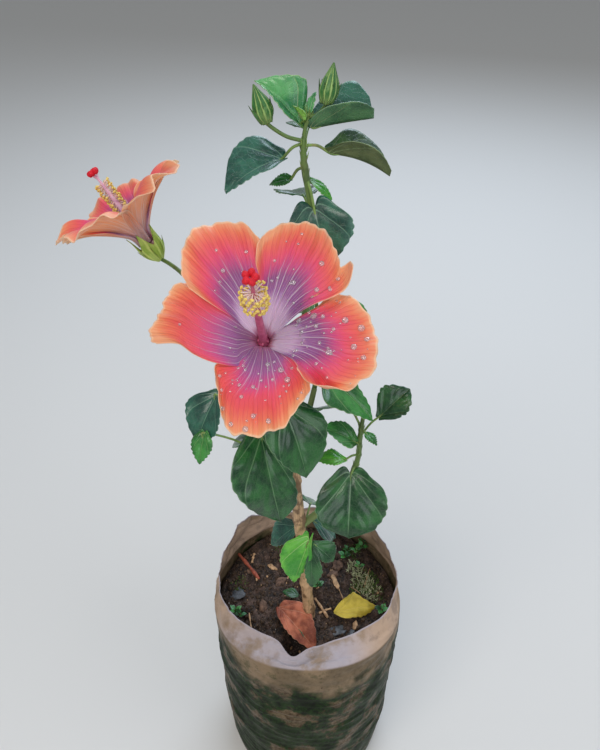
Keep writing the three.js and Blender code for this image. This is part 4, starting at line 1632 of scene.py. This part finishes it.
@dataclass
class Bag:
    """The film grow bag, whose rim stands up behind and is folded over the soil in front."""

    radius: float = 100.0
    height: float = 300.0  # where the band folds over in front
    back: float = 279.0  # where it begins behind
    band: float = 26.0
    pull: float = 8.0  # how far the fold is drawn in
    film: float = 0.5
    # How far along the film, its radius and its height, up the wall to where the band draws it in
    profile: Sequence[Spot] = (
        (0, 0, 0.3), (0.05, 80, 0.3), (0.07, 92.5, 0.6), (0.085, 96, 6), (0.14, 98, 30), (0.34, 100, 110),
        (0.58, 100, 200),
    )
    # Where the band is wider or narrower: its turn and reach in degrees, and by how many mm
    flaps: Sequence[Spot] = ((137, 14, 22), (41, 16, 11), (-102, 9, -12))
    # The folds round the bag: the height, the sway in mm and where the sway begins
    rings: Sequence[Spot] = (
        (240, 4, 0.4), (222, 6, 2.0), (208, 5, 3.4), (176, 9, 5.0), (128, 7, 1.2), (84, 6, 4.0),
    )
    girdle: float = 238.0  # mm, the height where a tie has pressed the film in
    girdle_reach: float = 10.0

    def body_top(self, angle: Array) -> Array:
        """Gives the height where the band above the body begins."""
        return self.back + (self.height + 4 - self.back) * bump(angle, FRONT, 62)

    def drawn(self, angle: Array) -> Array:
        """Gives the radius at the fold, which is drawn in at the front."""
        return self.radius - self.pull * bump(angle, FRONT, 50)

    def shape(self, s: Array, x: Array) -> Array:
        """Gives the film's places.

        Args:
            s: along the film, from the middle of its underside to the band's free edge.
            x: round it, from -1 to 1.

        Returns:
            The places in mm.
        """
        angle = (START + 180 * (x + 1)) % 360
        turn = np.radians(angle)
        over = np.clip((s - BODY_SHARE) / (1 - BODY_SHARE), 0, 1)
        front = bump(angle, FRONT, 58)
        marks, radii, heights = zip(*self.profile)
        upper = np.clip((s - marks[-1]) / (BODY_SHARE - marks[-1]), 0, 1)
        r = np.interp(s, marks, radii) + (self.drawn(angle) - self.radius) * upper ** 1.5
        z = np.interp(s, marks, heights) + (self.body_top(angle) - heights[-1]) * upper
        lean = np.radians(4 + 92 * front)
        wide = self.band + sum(more * bump(angle, middle, reach) for middle, reach, more in self.flaps)
        r = r - wide * np.sin(lean) * over
        z = z + wide * np.cos(lean) * over + 2.6 * front * np.sin(math.pi * np.clip(over / 0.35, 0, 1))
        spots = np.stack([r * np.cos(turn), r * np.sin(turn), z], -1)
        wall = step(s, 0.09, 0.2) * (1 - step(s, BODY_SHARE - 0.03, BODY_SHARE))
        push = 0.7 * wall * creases(spots * np.array([0.5, 0.5, 1.6]), 16.0, 21)
        push = push + 0.9 * wall * swell(spots, 34.0, 8)
        for level, sway, lag in self.rings:
            line = spots[..., 2] - level - sway * np.sin(2 * turn + lag) - 3 * swell(spots, 30.0, 41)
            fading = (0.5 + 0.5 * swell(spots, 46.0, level)).clip(0, 1)
            push = push + fading * (1.5 * peak(line, 2.6) - peak(line + 6, 4))
        pressed = peak(spots[..., 2] - self.girdle, self.girdle_reach)
        push = push - 1.6 * pressed * (0.6 + 0.4 * swell(spots, 20, 4))
        crumple = step(s, BODY_SHARE - 0.02, BODY_SHARE + 0.04)
        fine = creases(spots, 13.0, 33) * 1.3 + creases(spots, 6.5, 35) * 0.6 + swell(spots, 18.0, 12) * 1.2
        flap = crumple * fine
        outward = np.stack([np.cos(turn), np.sin(turn), np.zeros_like(turn)], -1)
        lifted = spots + outward * (push + flap * (1 - front))[..., None]
        lifted[..., 2] += flap * front * 1.6 + crumple * (1 - front) * swell(spots, 24.0, 17) * 1.5 * over
        return lifted

    def build(self) -> None:
        """Builds the film as one thin closed sheet."""
        piece = sheet("film_bag", 240, 150, self.shape, [FILM, FILM], self.film, seam=True)
        settle(piece, "film", ["grow_bag"])


# What lies on the soil: place, length, width and turn, in mm and degrees
LITTER = (
    (-77, 9, 17, 16, 10, SLATE), (31, 19, 20, 6, -70, CHIP), (29, 34, 8, 5, -60, CHIP),
    (-40, 44, 12, 5, 150, CHIP), (50, -30, 9, 5, 70, CHIP), (10, 54, 14, 5, 110, CHIP),
    (32, -34, 20, 12, 20, SLATE), (46, -38, 10, 7, 60, SLATE), (35, 44, 16, 11, 60, LUMP),
    (29, 30, 13, 9, 20, LUMP), (-30, 26, 17, 10, 40, LUMP), (-48, -8, 15, 9, 100, LUMP),
    (12, -58, 14, 9, 10, LUMP), (-14, 40, 15, 10, 160, LUMP), (60, -8, 10, 8, 30, LUMP),
    (-64, 34, 10, 7, 0, LUMP),
)
# Place, length, turn and radius
TWIGS = (
    (-66, 38, 42, -53, 1.9, TWIG), (-62, 51, 12, 80, 1.3, CHIP), (15, -9, 27, -60, 1.5, CHIP),
    (19, -12, 14, 20, 1.1, CHIP), (68, 30, 26, 70, 0.8, CHIP), (-20, 34, 26, 75, 0.7, CHIP),
    (-60, -30, 24, 100, 0.8, CHIP), (56, 12, 18, 140, 0.6, CHIP), (36, 8, 20, 110, 0.6, CHIP),
)
# Place, spread and count of a tuft's blades
TUFTS = (
    (66, 24, 15, 300, MOSS), (76, 8, 10, 160, MOSS), (56, 14, 9, 90, MOSS), (-76, 20, 9, 70, MOSS),
    (52, 60, 12, 120, MOSS), (-30, 72, 12, 90, MOSS), (62, 24, 12, 150, HAY), (54, 38, 9, 90, HAY),
    (70, 8, 9, 70, HAY),
)
# Place, height and turn
WEEDS = (
    (48, 62, 6, 20), (57, 58, 9, 70), (64, 66, 6, 0), (72, 71, 6, 40), (66, 74, 8, 15), (-77, -14, 5, 40),
    (-72, -17, 4, 10), (11, 14, 6, 30), (80, -12, 4, 60), (60, 42, 5, 15), (44, 54, 5, 50),
)
WEED_GREENS = (Tone.FRESH, Tone.DEEP, Tone.FRESH, Tone.YOUNG)
FALLEN = (
    Leaf((-31, -12, 278), -50, 8, 57, 40, 4, curl=26, fold=16, skin=(DEAD, DEAD), quilt=1.8, wave=2.6, lobe=0,
         left=(10, 16, 20, 21, 20, 16, 11, 3), right=(4, 8, 10, 12, 12, 11, 8, 3)),
    Leaf((28, -18, 277), 12, 6, 47, 30, -4, curl=20, fold=8, skin=(FADED, FADED), quilt=0.8, wave=1.6, lobe=0,
         left=(2, 8, 12, 15, 18, 12, 6, 0), right=(2, 9, 11, 10, 10, 8, 5, 0)),
    Leaf((-11, 2, 277), 160, 6, 17, 12, 8, curl=20, fold=12, tone=Tone.DEEP, quilt=0.6, wave=1.0),
    Leaf((-14, -32, 277), -62, 4, 26, 6, 30, curl=20, fold=12, tone=Tone.DULL, quilt=0.4, wave=1.0, lobe=0),
)


@dataclass
class Bed:
    """The soil in the bag with its crumbs, chips, moss, weeds and fallen leaves."""

    bag: Bag
    level: float = 270.0
    lumps: Sequence[Spot] = ((2.94, 22.0, 51), (1.9, 9.0, 52), (0.8, 3.6, 53))  # mm high, mm across and seed
    stem: Flat = (2.0, -16.0)  # where the main stem stands
    stem_room: float = 7.0
    crumbs: int = 2600
    reach: float = 95.0  # how far from the middle the crumbs lie
    moss_reach: float = 94.0

    def surface(self, x: Array, y: Array) -> Array:
        """Gives the height of the soil.

        Args:
            x: rightward, in mm.
            y: away from the viewer, in mm.

        Returns:
            The heights: lumpy, calm round the stem and lower at the wall.
        """
        spots = np.stack([x, y, np.zeros_like(x)], -1)
        calm = step(np.hypot(x - self.stem[0], y - self.stem[1]), self.stem_room, 24)
        height = sum(high * swell(spots, size, seed) for high, size, seed in self.lumps)
        return self.level + calm * height - 3 * step(np.hypot(x, y), 80, 100)

    def ground(self, x: float, y: float, lift: float = 0.0) -> Array:
        """Gives one place on the soil, or lift mm above it."""
        return np.array([x, y, float(self.surface(np.array(x), np.array(y))) + lift])

    def shape(self, s: Array, x: Array) -> Array:
        """Gives the soil's places.

        Args:
            s: from the middle of its foot, up the wall and over to the middle of its top.
            x: round it, from -1 to 1.

        Returns:
            The places in mm.
        """
        angle = (START + 180 * (x + 1)) % 360
        turn = np.radians(angle)
        wall = self.bag.drawn(angle) - 2.6
        r = np.where(s > 0.1, np.interp(s, [0.1, 0.2, 0.3, 1], [0.97, 1, 1, 0]) * wall,
                     np.interp(s, [0, 0.05, 0.1], [0, 90, 94]))
        low = np.interp(s, [0, 0.05, 0.1, 0.3], [2.6, 2.6, 30, self.level - 4])
        px, py = r * np.cos(turn), r * np.sin(turn)
        z = np.where(s > 0.3, self.surface(px, py), low)
        return np.stack([px, py, low + (z - low) * step(s, 0.28, 0.33)], -1)

    def scatter(self, count: int, seed: int) -> Iterator[tuple[Array, np.random.Generator]]:
        """Deals out places on the soil, but not in the stem.

        Args:
            count: how many are dealt.
            seed: their seed.

        Returns:
            Each place in mm with the generator, for more draws.
        """
        chance = np.random.default_rng(seed)
        for _ in range(count):
            r, a = self.reach * math.sqrt(chance.uniform()), chance.uniform(0, TURN)
            x, y = r * math.cos(a), r * math.sin(a)
            if math.dist((x, y), self.stem) >= self.stem_room:
                yield self.ground(x, y), chance

    def build_crumbs(self) -> None:
        """Builds crumbs and grit of many sizes, sunk into the soil."""
        heap = Heap(CRUMB, STONE, CHIP)
        for number, (place, chance) in enumerate(self.scatter(self.crumbs, 61)):
            size = 0.7 + 2.4 * chance.uniform() ** 3
            axes, _ = np.linalg.qr(chance.normal(size=(3, 3)))
            finish = CHIP if number % 29 == 0 else STONE if number % 67 == 0 else CRUMB
            shape = size * np.array([1, chance.uniform(0.6, 1), chance.uniform(0.5, 0.9)])
            heap.blob(place + UP * size * 0.2, shape, finish, axes, 1, 0.25, number)
        heap.finish("soil_crumbs", "soil")

    def build_litter(self) -> None:
        """Builds the bark chips, twigs and fallen leaves that the picture shows."""
        heap = Heap(CHIP)
        for x, y, long, wide, turn, finish in LITTER:
            axes = np.stack([direction(turn, 6), direction(turn + 90, -5), direction(turn, 96)])
            thick = wide * 0.3 if finish is LUMP else 1.5
            place = self.ground(x, y, 1.2 + thick * 0.3)
            heap.blob(place, (long / 2, wide / 2, thick), finish, axes, 3, 0.2, int(long * 3))
        for x, y, long, turn, radius, finish in TWIGS:
            middle = self.ground(x, y, 2.0)
            half = direction(turn, 3) * long / 2
            path = smooth_row([middle - half, middle + UP * 1.2, middle + half], shares(14))
            heap.tube(path, radius * (1 + 0.25 * np.sin(14 * shares(14) + x)), 8, finish)
        heap.finish("soil_litter", "soil")
        fallen = Heap()
        for leaf in FALLEN:
            leaf.grow(fallen)
        fallen.finish("fallen_leaves", "soil")

    def build_moss(self) -> None:
        """Builds cushions of living and dry moss."""
        heap = Heap()
        chance = np.random.default_rng(77)
        for cx, cy, spread, count, finish in TUFTS:
            for _ in range(count):
                a, r = chance.uniform(0, TURN), spread * math.sqrt(chance.uniform())
                x, y = cx + r * math.cos(a), cy + r * math.sin(a)
                if math.hypot(x, y) > self.moss_reach:
                    continue
                foot = self.ground(x, y, -0.5)
                way = direction(chance.uniform(0, 360), chance.uniform(35, 85))
                tall = chance.uniform(1.8, 4.2) * (2.2 if finish is HAY else 1)
                path = [foot, foot + way * tall * 0.6, foot + way * tall - UP * tall * 0.15]
                heap.tube(path, {0: 0.4, 0.5: 0.55, 1: 0.12}, 4, finish, 0.6)
        heap.finish("moss", "leaf")

    def build_weeds(self) -> None:
        """Builds small weeds, each with two pairs of leaves."""
        weeds, stems = Heap(), Heap()
        for x, y, tall, heading in WEEDS:
            foot = self.ground(x, y)
            for k in range(4):
                turn = heading + 90 * k
                base = foot + UP * tall * (0.5 + 0.12 * k) + direction(turn, 20) * 2
                size = 5.0 + (x * 7 + k * 3) % 3
                leaf = Leaf(tuple(base), turn + 20 * (k % 2), 12 + 14 * k, size, size * 0.8,
                            tone=WEED_GREENS[(int(y) + k) % 4], teeth=3, tooth=0.1, quilt=0.3, wave=0.2)
                leaf.grow(weeds)
            stems.tube([foot - UP, foot + UP * tall * 0.5, foot + UP * tall], {0: 0.5, 1: 0.3}, 6, STALK)
        weeds.finish("weed_leaves", "leaf")
        stems.finish("weed_stems", "leaf")

    def build(self) -> None:
        """Builds the soil and all that lies on it."""
        settle(sheet("potting_soil_bed", 220, 190, self.shape, [SOIL], seam=True), "soil", ["soil"])
        self.build_crumbs()
        self.build_litter()
        self.build_moss()
        self.build_weeds()


# What is on the plant

# The large bloom that faces the viewer, and its largest drops
CENTRE_PETALS = (
    Petal(-30, [(2, 4), (17, 9), (29, 16), (38, 21)],
          [(46, 25), (57, 24), (67, 18), (74, 10), (75, 0), (71, -12), (67, -20), (59, -23), (50, -25)],
          [(2, -4), (12, -8), (23, -14), (36, -20), (43, -23)], 70, lift=(1.5, 1.0, -0.8), seed=3,
          ruffle=1.4),
    Petal(36, [(2, 4), (12, 10), (22, 17), (30, 23), (35, 28)],
          [(44, 33), (54, 33), (62, 29), (68, 23), (72, 15), (72, 6), (69, -2), (64, -9), (61, -13),
           (66, -16), (63, -22)],
          [(2, -4), (23, -9), (35, -15), (42, -20), (50, -24), (57, -24)], 70,
          lift=(2.4, 1.6, 2.4), seed=5, ruffle=1.5,
          folds=((0.97, 0.72, 0.1, 0.12, -5), (0.98, 0.95, 0.1, 0.12, 6))),
    Petal(101, [(2, 4), (13, 9), (20, 15), (29, 22)],
          [(33, 27), (43, 31), (54, 27), (62, 18), (68, 6), (70, -4), (69, -11), (64, -18), (57, -24),
           (48, -25)],
          [(2, -4), (17, -9), (25, -13), (33, -21), (37, -25)], 72, lift=(-1.5, 0, 1.5),
          seed=7, ruffle=1.9,
          folds=((0.68, 1.0, 0.1, 0.1, 11), (0.72, 0.8, 0.12, 0.08, -8), (0.92, 0.85, 0.12, 0.08, 4),
                 (0.9, 0.5, 0.12, 0.1, -2.5), (0.95, 0.2, 0.1, 0.1, 2.5))),
    Petal(184, [(2, 4), (10, 14), (20, 26), (25, 29)],
          [(33, 31), (42, 27), (52, 20), (59, 12), (62, 4), (62, -2), (62, -8), (57, -14), (46, -18),
           (34, -22)],
          [(2, -4), (14, -9), (21, -16), (23, -24)], 72, lift=(-2.4, -2, -2.4), seed=9,
          pale=False),
    Petal(261, [(2, 4), (13, 12), (18, 17), (32, 15), (42, 10), (50, 3)],
          [(62, 1), (65, -3), (64, -10), (59, -17), (55, -27), (49, -34), (41, -35)],
          [(2, -4), (9, -7), (18, -15), (26, -20), (34, -28)], 72, lift=(1.8, 0, -1.6), seed=11,
          ruffle=1.2, pale=False, folds=((0.3, 0.1, 0.16, 0.4, 2.5),)),
)
CENTRE_DROPS = (
    (0, 0.6, -0.1, 1.2), (0, 0.72, 0.5, 1.0), (1, 0.5, 0.1, 1.3), (1, 0.66, 0.6, 1.3), (1, 0.8, 0.3, 1.4),
    (1, 0.85, 0.75, 1.1), (1, 0.4, 0.5, 0.8), (1, 0.7, 0.85, 1.0), (2, 0.4, -0.7, 1.6),
    (2, 0.55, -0.6, 1.8), (2, 0.62, -0.5, 1.2), (2, 0.5, -0.3, 1.2), (2, 0.66, -0.2, 1.0),
    (2, 0.8, -0.35, 1.7), (2, 0.9, -0.2, 1.8), (2, 0.92, 0.0, 1.5), (2, 0.82, 0.1, 1.6),
    (2, 0.9, 0.25, 1.4), (2, 0.6, 0.3, 1.8), (2, 0.35, -0.2, 1.0), (3, 0.3, -0.2, 1.3),
    (3, 0.45, -0.55, 1.7), (3, 0.5, -0.3, 1.0), (3, 0.55, 0.1, 1.1), (3, 0.62, -0.6, 1.6),
    (3, 0.7, 0.2, 1.0), (3, 0.85, 0.0, 1.3), (3, 0.92, -0.2, 1.4), (3, 0.94, 0.3, 1.2),
    (3, 0.96, 0.1, 1.5), (3, 0.9, 0.5, 1.1), (3, 0.4, 0.5, 0.9), (4, 0.8, -0.3, 0.8), (4, 0.3, 0.5, 0.8),
)
CENTRE_SPRAY = ((2, 46), (3, 40), (1, 14), (0, 6), (4, 4))
# The leaves and buds that the picture shows, mass by mass
TOP_LEAVES = (
    Leaf((-8, 0, 778), 168, 48, 34, 27, -32, 0.9, Tone.YOUNG, fold=46, tooth=1.3, quilt=1.6, wave=1.6,
         left=(3, 9, 14, 15, 14, 10, 6, 0), right=(4, 10, 15, 18, 16, 12, 7, 0)),
    Leaf((-1, -2, 777), 4, 10, 35, 26, -6, 0.93, Tone.SHEEN_TEAL, fold=44, curl=6, tooth=1.1, quilt=0.6,
         left=(7, 14, 20, 23, 25, 25, 22, 12), right=(8, 13, 16, 17, 18, 18, 15, 9)),
    Leaf((10, -1, 762), 1, -4, 38, 24, -10, 0.66, Tone.DULL, fold=44, curl=34, tooth=1.1,
         left=(6, 13, 17, 19, 19, 17, 13, 4), right=(6, 12, 15, 16, 16, 14, 10, 4)),
    Leaf((-19, -3, 759), -170, -10, 37, 34, -12, 0.68, Tone.SHEEN_TEAL, fold=14, sweep=-9, tooth=1.1,
         left=(5, 9, 10, 9, 8, 6, 4, 0), right=(11, 19, 23, 25, 25, 23, 16, 2)),
    Leaf((-3, -4, 784), 60, 66, 13, 7, 0, 0.98, Tone.YOUNG, fold=40, teeth=4, quilt=0.3, wave=0.4),
    Leaf((-6, -6, 783), -160, 62, 10, 6, 0, 0.97, Tone.YOUNG, fold=40, teeth=4, quilt=0.3, wave=0.4),
    Leaf((1, -10, 729), -66, -51, 33, 42, 30, 0.46, Tone.SHEEN_TEAL, fold=8, lobe=0.26, quilt=0.4,
         left=(14, 18, 21, 21, 19, 14, 8, 0), right=(15, 18, 18, 17, 14, 10, 5, 0)),
    Leaf((-2, 5, 743), -14, -26, 18, 12, 0, 0.55, Tone.BRIGHT),
    Leaf((-14, 4, 744), 172, -8, 14, 10, -20, 0.5, Tone.FRESH),
)
LEFT_LEAVES = (
    Leaf((-39, -11, 536), -72, -51, 77, 58, -15, 0.9, Tone.DEEP, fold=10, sweep=-9, quilt=2.2, wave=2.2,
         left=(11, 14, 19, 21, 20, 19, 15, 0), right=(20, 30, 35, 35, 32, 25, 14, 0)),
    Leaf((-21, -20, 580), -56, -46, 61, 50, 0, 1, Tone.DEEP, fold=9, quilt=2.0, wave=1.8,
         left=(12, 20, 25, 26, 24, 21, 14, 0), right=(13, 20, 24, 24, 21, 16, 9, 0)),
    Leaf((-73, 2, 570), -126, -35, 41, 34, 0, 1, Tone.SHEEN_TEAL,
         left=(4, 8, 12, 15, 16, 15, 10, 0), right=(6, 15, 20, 21, 18, 14, 8, 0)),
    Leaf((-82, -22, 552), -111, -48, 26, 18, 0, 1, Tone.FRESH),
)
RIGHT_LEAVES = (
    Leaf((34, -22, 502), -94, -46, 54, 58, 0, 0.05, Tone.DEEP, fold=8, lobe=0.14, quilt=2.0, wave=1.6,
         left=(16, 26, 30, 31, 30, 26, 19, 0), right=(15, 22, 26, 28, 28, 25, 18, 0)),
    Leaf((12, -7, 596), -27, -24, 49, 34, 0, 0.9, Tone.FRESH, fold=8, wave=1.6,
         left=(6, 11, 14, 13, 11, 9, 6, 0), right=(10, 22, 25, 20, 16, 12, 8, 0)),
    Leaf((35, -18, 538), 172, 36, 29, 28, 0, 0.45, Tone.FRESH, fold=24,
         left=(6, 14, 18, 18, 16, 12, 7, 0), right=(5, 9, 11, 12, 11, 9, 6, 0)),
    Leaf((28, -20, 519), -176, 14, 22, 18, 0, 0.3, Tone.BRIGHT,
         left=(3, 5, 7, 8, 7, 6, 4, 0), right=(3, 6, 9, 11, 10, 8, 5, 0)),
    Leaf((55, -10, 559), 10, 52, 31, 32, 40, 0.6, Tone.DEEP, teeth=7, tooth=1.3,
         left=(4, 8, 12, 14, 15, 13, 8, 0), right=(4, 8, 11, 12, 13, 11, 8, 0)),
    Leaf((44, -19, 548), -60, 10, 14, 8, 0, 0.7, Tone.FRESH, wave=0.6),
)
LOW_LEAVES = (
    Leaf((0, -23, 412), -122, -53, 47, 32, -22, 1, Tone.BRIGHT, fold=8, lobe=0.2, wave=1.4,
         left=(2, 5, 8, 8, 6, 5, 3, 0), right=(12, 19, 21, 21, 19, 15, 8, 0)),
    Leaf((2, -24, 408), -87, -56, 46, 22, 0, 1, Tone.DEEP, fold=26,
         left=(3, 5, 8, 10, 11, 9, 6, 0), right=(2, 3, 5, 7, 7, 6, 4, 0)),
    Leaf((5, -22, 406), -22, -34, 27, 22, 20, 1, Tone.DEEP, fold=16,
         left=(4, 7, 10, 12, 13, 11, 7, 0), right=(3, 5, 7, 8, 8, 7, 4, 0)),
)
LOW_BACK_LEAVES = (
    Leaf((-11, -5, 411), -169, -38, 37, 30, -18, 0.9, Tone.SHEEN_TEAL,
         left=(4, 7, 9, 9, 8, 6, 4, 0), right=(6, 11, 15, 16, 15, 12, 7, 0)),
    Leaf((6, 0, 410), 2, -44, 36, 30, 10, 0.9, Tone.SHEEN_TEAL,
         left=(5, 10, 14, 15, 14, 11, 6, 0), right=(5, 9, 12, 13, 12, 9, 5, 0)),
)
BUDS = (Bud(0.7, (-26, -9, 781), (-33, -7, 801), 5.4), Bud(0.95, (6, -9, 791), (10, -4, 811), 5.1))


def make_side_bloom() -> Bloom:
    """Describes the bloom that is seen from its side.

    Returns:
        The bloom.
    """
    left = [(2, 6), (12, 9), (30, 18), (44, 25)]
    rim = [(54, 26), (63, 23), (69, 15), (72, 5), (70, -5), (68, -15), (60, -23), (54, -26)]
    right = [(2, -6), (12, -9), (30, -18), (44, -24)]
    # Each petal's length as a share of the longest, its tilt and how far its rim falls back
    rows = ((0.98, 50, 18), (0.96, 49, 14), (0.88, 45, 12), (0.97, 55, 5), (0.88, 48, 16))
    petals = []
    for k, (share, tilt, fall) in enumerate(rows):
        edges = ([(along * share, across) for along, across in edge] for edge in (left, rim, right))
        petals.append(Petal(17 + 72 * k, *edges, tilt, 6, fall, seed=21 + k, ruffle=2.6, frill=0.2,
                            folds=((0.95, 0.1, 0.2, 0.3, 3),)))
    return Bloom("left_bloom", "left_spray", 167, 57, (-123.4, 60.2, 673.4), petals, 58, 6.0, 130,
                 tube=0.5, calyx=21.5, cup=1.24, anther_zone=(0.5, 0.84), wood=PALE_COLUMN, parting=53)


def make_plant() -> Plant:
    """Describes the plant with the model's own paths and rows.

    Returns:
        The plant.
    """
    trunk = Limb(
        "main_stem",
        ((2.2, -16, 258), (2, -16, 272), (-3, -15.5, 350), (-9, -15, 440), (-12.5, -14, 500), (-10, -11, 570),
         (-5, -8, 640)),
        (7.4, 6.2, 5.4, 5.2, 4.8, 4.2, 3.4), BARK, "bark", (0.2, 0.3, 0.42, 0.49, 0.63, 0.72, 0.86), 40, 0.02,
    )
    boughs = [
        Limb("left_bough", ((-10, -12, 580), (-34, 4, 606), (-64, 22, 636), (-88, 34, 652)), (3, 2.4, 1.9),
             GREEN_WOOD, "green_wood", (0.3, 0.6, 0.85), 20),
        Limb("right_bough", ((-8, -15, 424), (14, -11, 446), (32, -13, 474), (38, -15, 506)), (3.6, 3, 2.6),
             GREEN_WOOD, "green_wood", (0.4, 0.7), 20),
        Limb("back_bough", ((-12, -13, 505), (-4, 8, 528), (4, 26, 556)), (3.2, 2.7, 2.3),
             GREEN_WOOD, "green_wood", (0.5,), 20),
    ]
    masses = [
        Mass("top_foliage",
             ((-5, -8, 640.6), (-2, -6, 690), (-1.5, -5, 727), (-5.4, -5, 755), (-6, -5, 768),
              (-4.9, -5, 778), (-2, -5, 786)), (2.8, 1.6, 0.9), 11, Space((-4, 0, 735), (62, 60, 85)),
             Rule(9, 0.12, 0.62, 60, 18, 40, -12), TOP_LEAVES, BUDS),
        Mass("left_foliage", ((-12, -14, 498), (-22, -16, 503), (-27, -17, 508)), (2.6, 2.2, 1.8), 23,
             Space((-50, -20, 540), (60, 60, 70)), Rule(2, 0.8, 1, 150, 30, 46, -20), LEFT_LEAVES),
        Mass("right_foliage", ((38.3, -15, 506.3), (40, -15, 522), (40, -14, 545), (42, -13, 572)),
             (2.4, 2, 1.5), 37, Space((45, -10, 540), (55, 60, 70)), Rule(5, 0.2, 0.95, 70, 20, 44, -20),
             RIGHT_LEAVES),
        Mass("low_foliage", ((-5.5, -15, 398), (-4.5, -21, 402), (-4, -25, 405)), (2, 1.8, 1.6), 41,
             Space((0, -40, 385), (45, 40, 45)), Rule(0, 0.5, 1, 0, 16, 30, -30), LOW_LEAVES),
        Mass("low_back_foliage", ((-6, -15, 402), (-4, -7, 408), (-2, 0, 414)), (2, 1.8, 1.6), 43,
             Space((0, 30, 395), (60, 50, 60)), Rule(3, 0.8, 1, 60, 22, 44, -25),
             LOW_BACK_LEAVES),
        Mass("back_foliage", ((4.1, 26.3, 556.5), (8, 36, 578), (7, 42, 606), (4, 46, 634)),
             (2.1, 1.8, 1.3), 59, Space((4, 48, 598), (66, 56, 62)), Rule(13, 0.08, 1, 20, 22, 46, -18)),
        Mass("left_spray", ((-88.3, 34.3, 652.3), (-97, 42, 657), (-106, 51, 658.5), (-114.3, 57.6, 659.5)),
             (1.7, 1.6, 1.5), 67, Space((-85, 60, 640), (60, 50, 60)), Rule(3, 0.05, 0.5, 20, 18, 38, -30),
             bloom=make_side_bloom()),
        Mass("centre_bloom", ((-9, -11, 592), (-20, -26, 602), (-27.5, -40, 622), (-28.9, -49, 649)),
             (2.2, 1.9, 1.9), 71, Space((-30, -50, 650), (40, 40, 60)), Rule(0, 0, 1, 0, 20, 40, -20),
             bloom=Bloom("centre_bloom", "centre_bloom", -92, 56, (-29.5, -68, 676), CENTRE_PETALS, 66, 7.6,
                         drops=CENTRE_DROPS, bend=(-1.6, 8, 4.6), spray=CENTRE_SPRAY)),
    ]
    return Plant(trunk, boughs, masses)


# The studio

EYE = (-0.008, -0.361, 0.895)
PITCH = 40.0  # degrees down
FOCAL_PIXELS, LONG_SIDE = 620.0, 750.0  # of the picture
SENSOR = 36.0
AIM = (0.0, 0.0, 0.55)  # metres, where the lights point
AIR = 0.38  # how strong the even light from all round is


@dataclass(frozen=True)
class Light:
    """A soft square light, placed in metres and aimed at the plant."""

    name: str
    place: Spot
    power: float
    size: float
    colour: str

    def build(self) -> None:
        """Hangs the light."""
        lamp = bpy.data.lights.new(self.name, "AREA")
        lamp.energy = self.power
        lamp.size = self.size
        lamp.color = linear(self.colour)[:3]
        made = bpy.data.objects.new(self.name, lamp)
        made.location = self.place
        aim = np.array(AIM) - np.array(self.place)
        made.rotation_euler = (math.acos(-aim[2] / np.linalg.norm(aim)), 0, math.atan2(-aim[0], aim[1]))
        bpy.context.collection.objects.link(made)


LIGHTS = (
    Light("key_light", (-0.75, -1.1, 2.3), 21.0, 1.1, "#fff8f0"),
    Light("front_light", (0.35, -2.1, 1.3), 10.0, 1.3, "#f6faff"),
    Light("sky_light", (0.5, 1.8, 2.2), 44.0, 1.8, "#dcecff"),
    Light("fill_light", (1.7, -0.9, 1.9), 12.0, 1.4, "#f4f6ff"),
)


def build_studio() -> None:
    """Builds the floor, the soft lights and the camera at the photograph's viewing angle."""
    bpy.ops.mesh.primitive_plane_add(size=12)
    floor = bpy.context.object
    floor.name = "studio_floor"
    floor.data.materials.append(FloorFinish("studio_floor").material())
    for light in LIGHTS:
        light.build()
    world = bpy.data.worlds.new("studio_air")
    world.use_nodes = True
    air = world.node_tree.nodes["Background"].inputs
    air["Color"].default_value = linear("#e6ebf0")
    air["Strength"].default_value = AIR
    bpy.context.scene.world = world
    lens = bpy.data.cameras.new("camera")
    lens.sensor_width = SENSOR
    lens.lens = SENSOR * FOCAL_PIXELS / LONG_SIDE
    camera = bpy.data.objects.new("camera", lens)
    camera.location = EYE
    camera.rotation_euler = (math.radians(90 - PITCH), 0, 0)
    bpy.context.collection.objects.link(camera)
    bpy.context.scene.camera = camera


def main() -> None:
    """Loads the frame, builds the studio, the bag and the plant."""
    logging.basicConfig(level=logging.INFO, format="%(message)s")
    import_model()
    build_studio()
    bpy.context.scene.view_settings.view_transform = "Standard"
    bag = Bag()
    bag.build()
    Bed(bag).build()
    make_plant().build()
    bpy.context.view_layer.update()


if __name__ == "__main__":
    main()
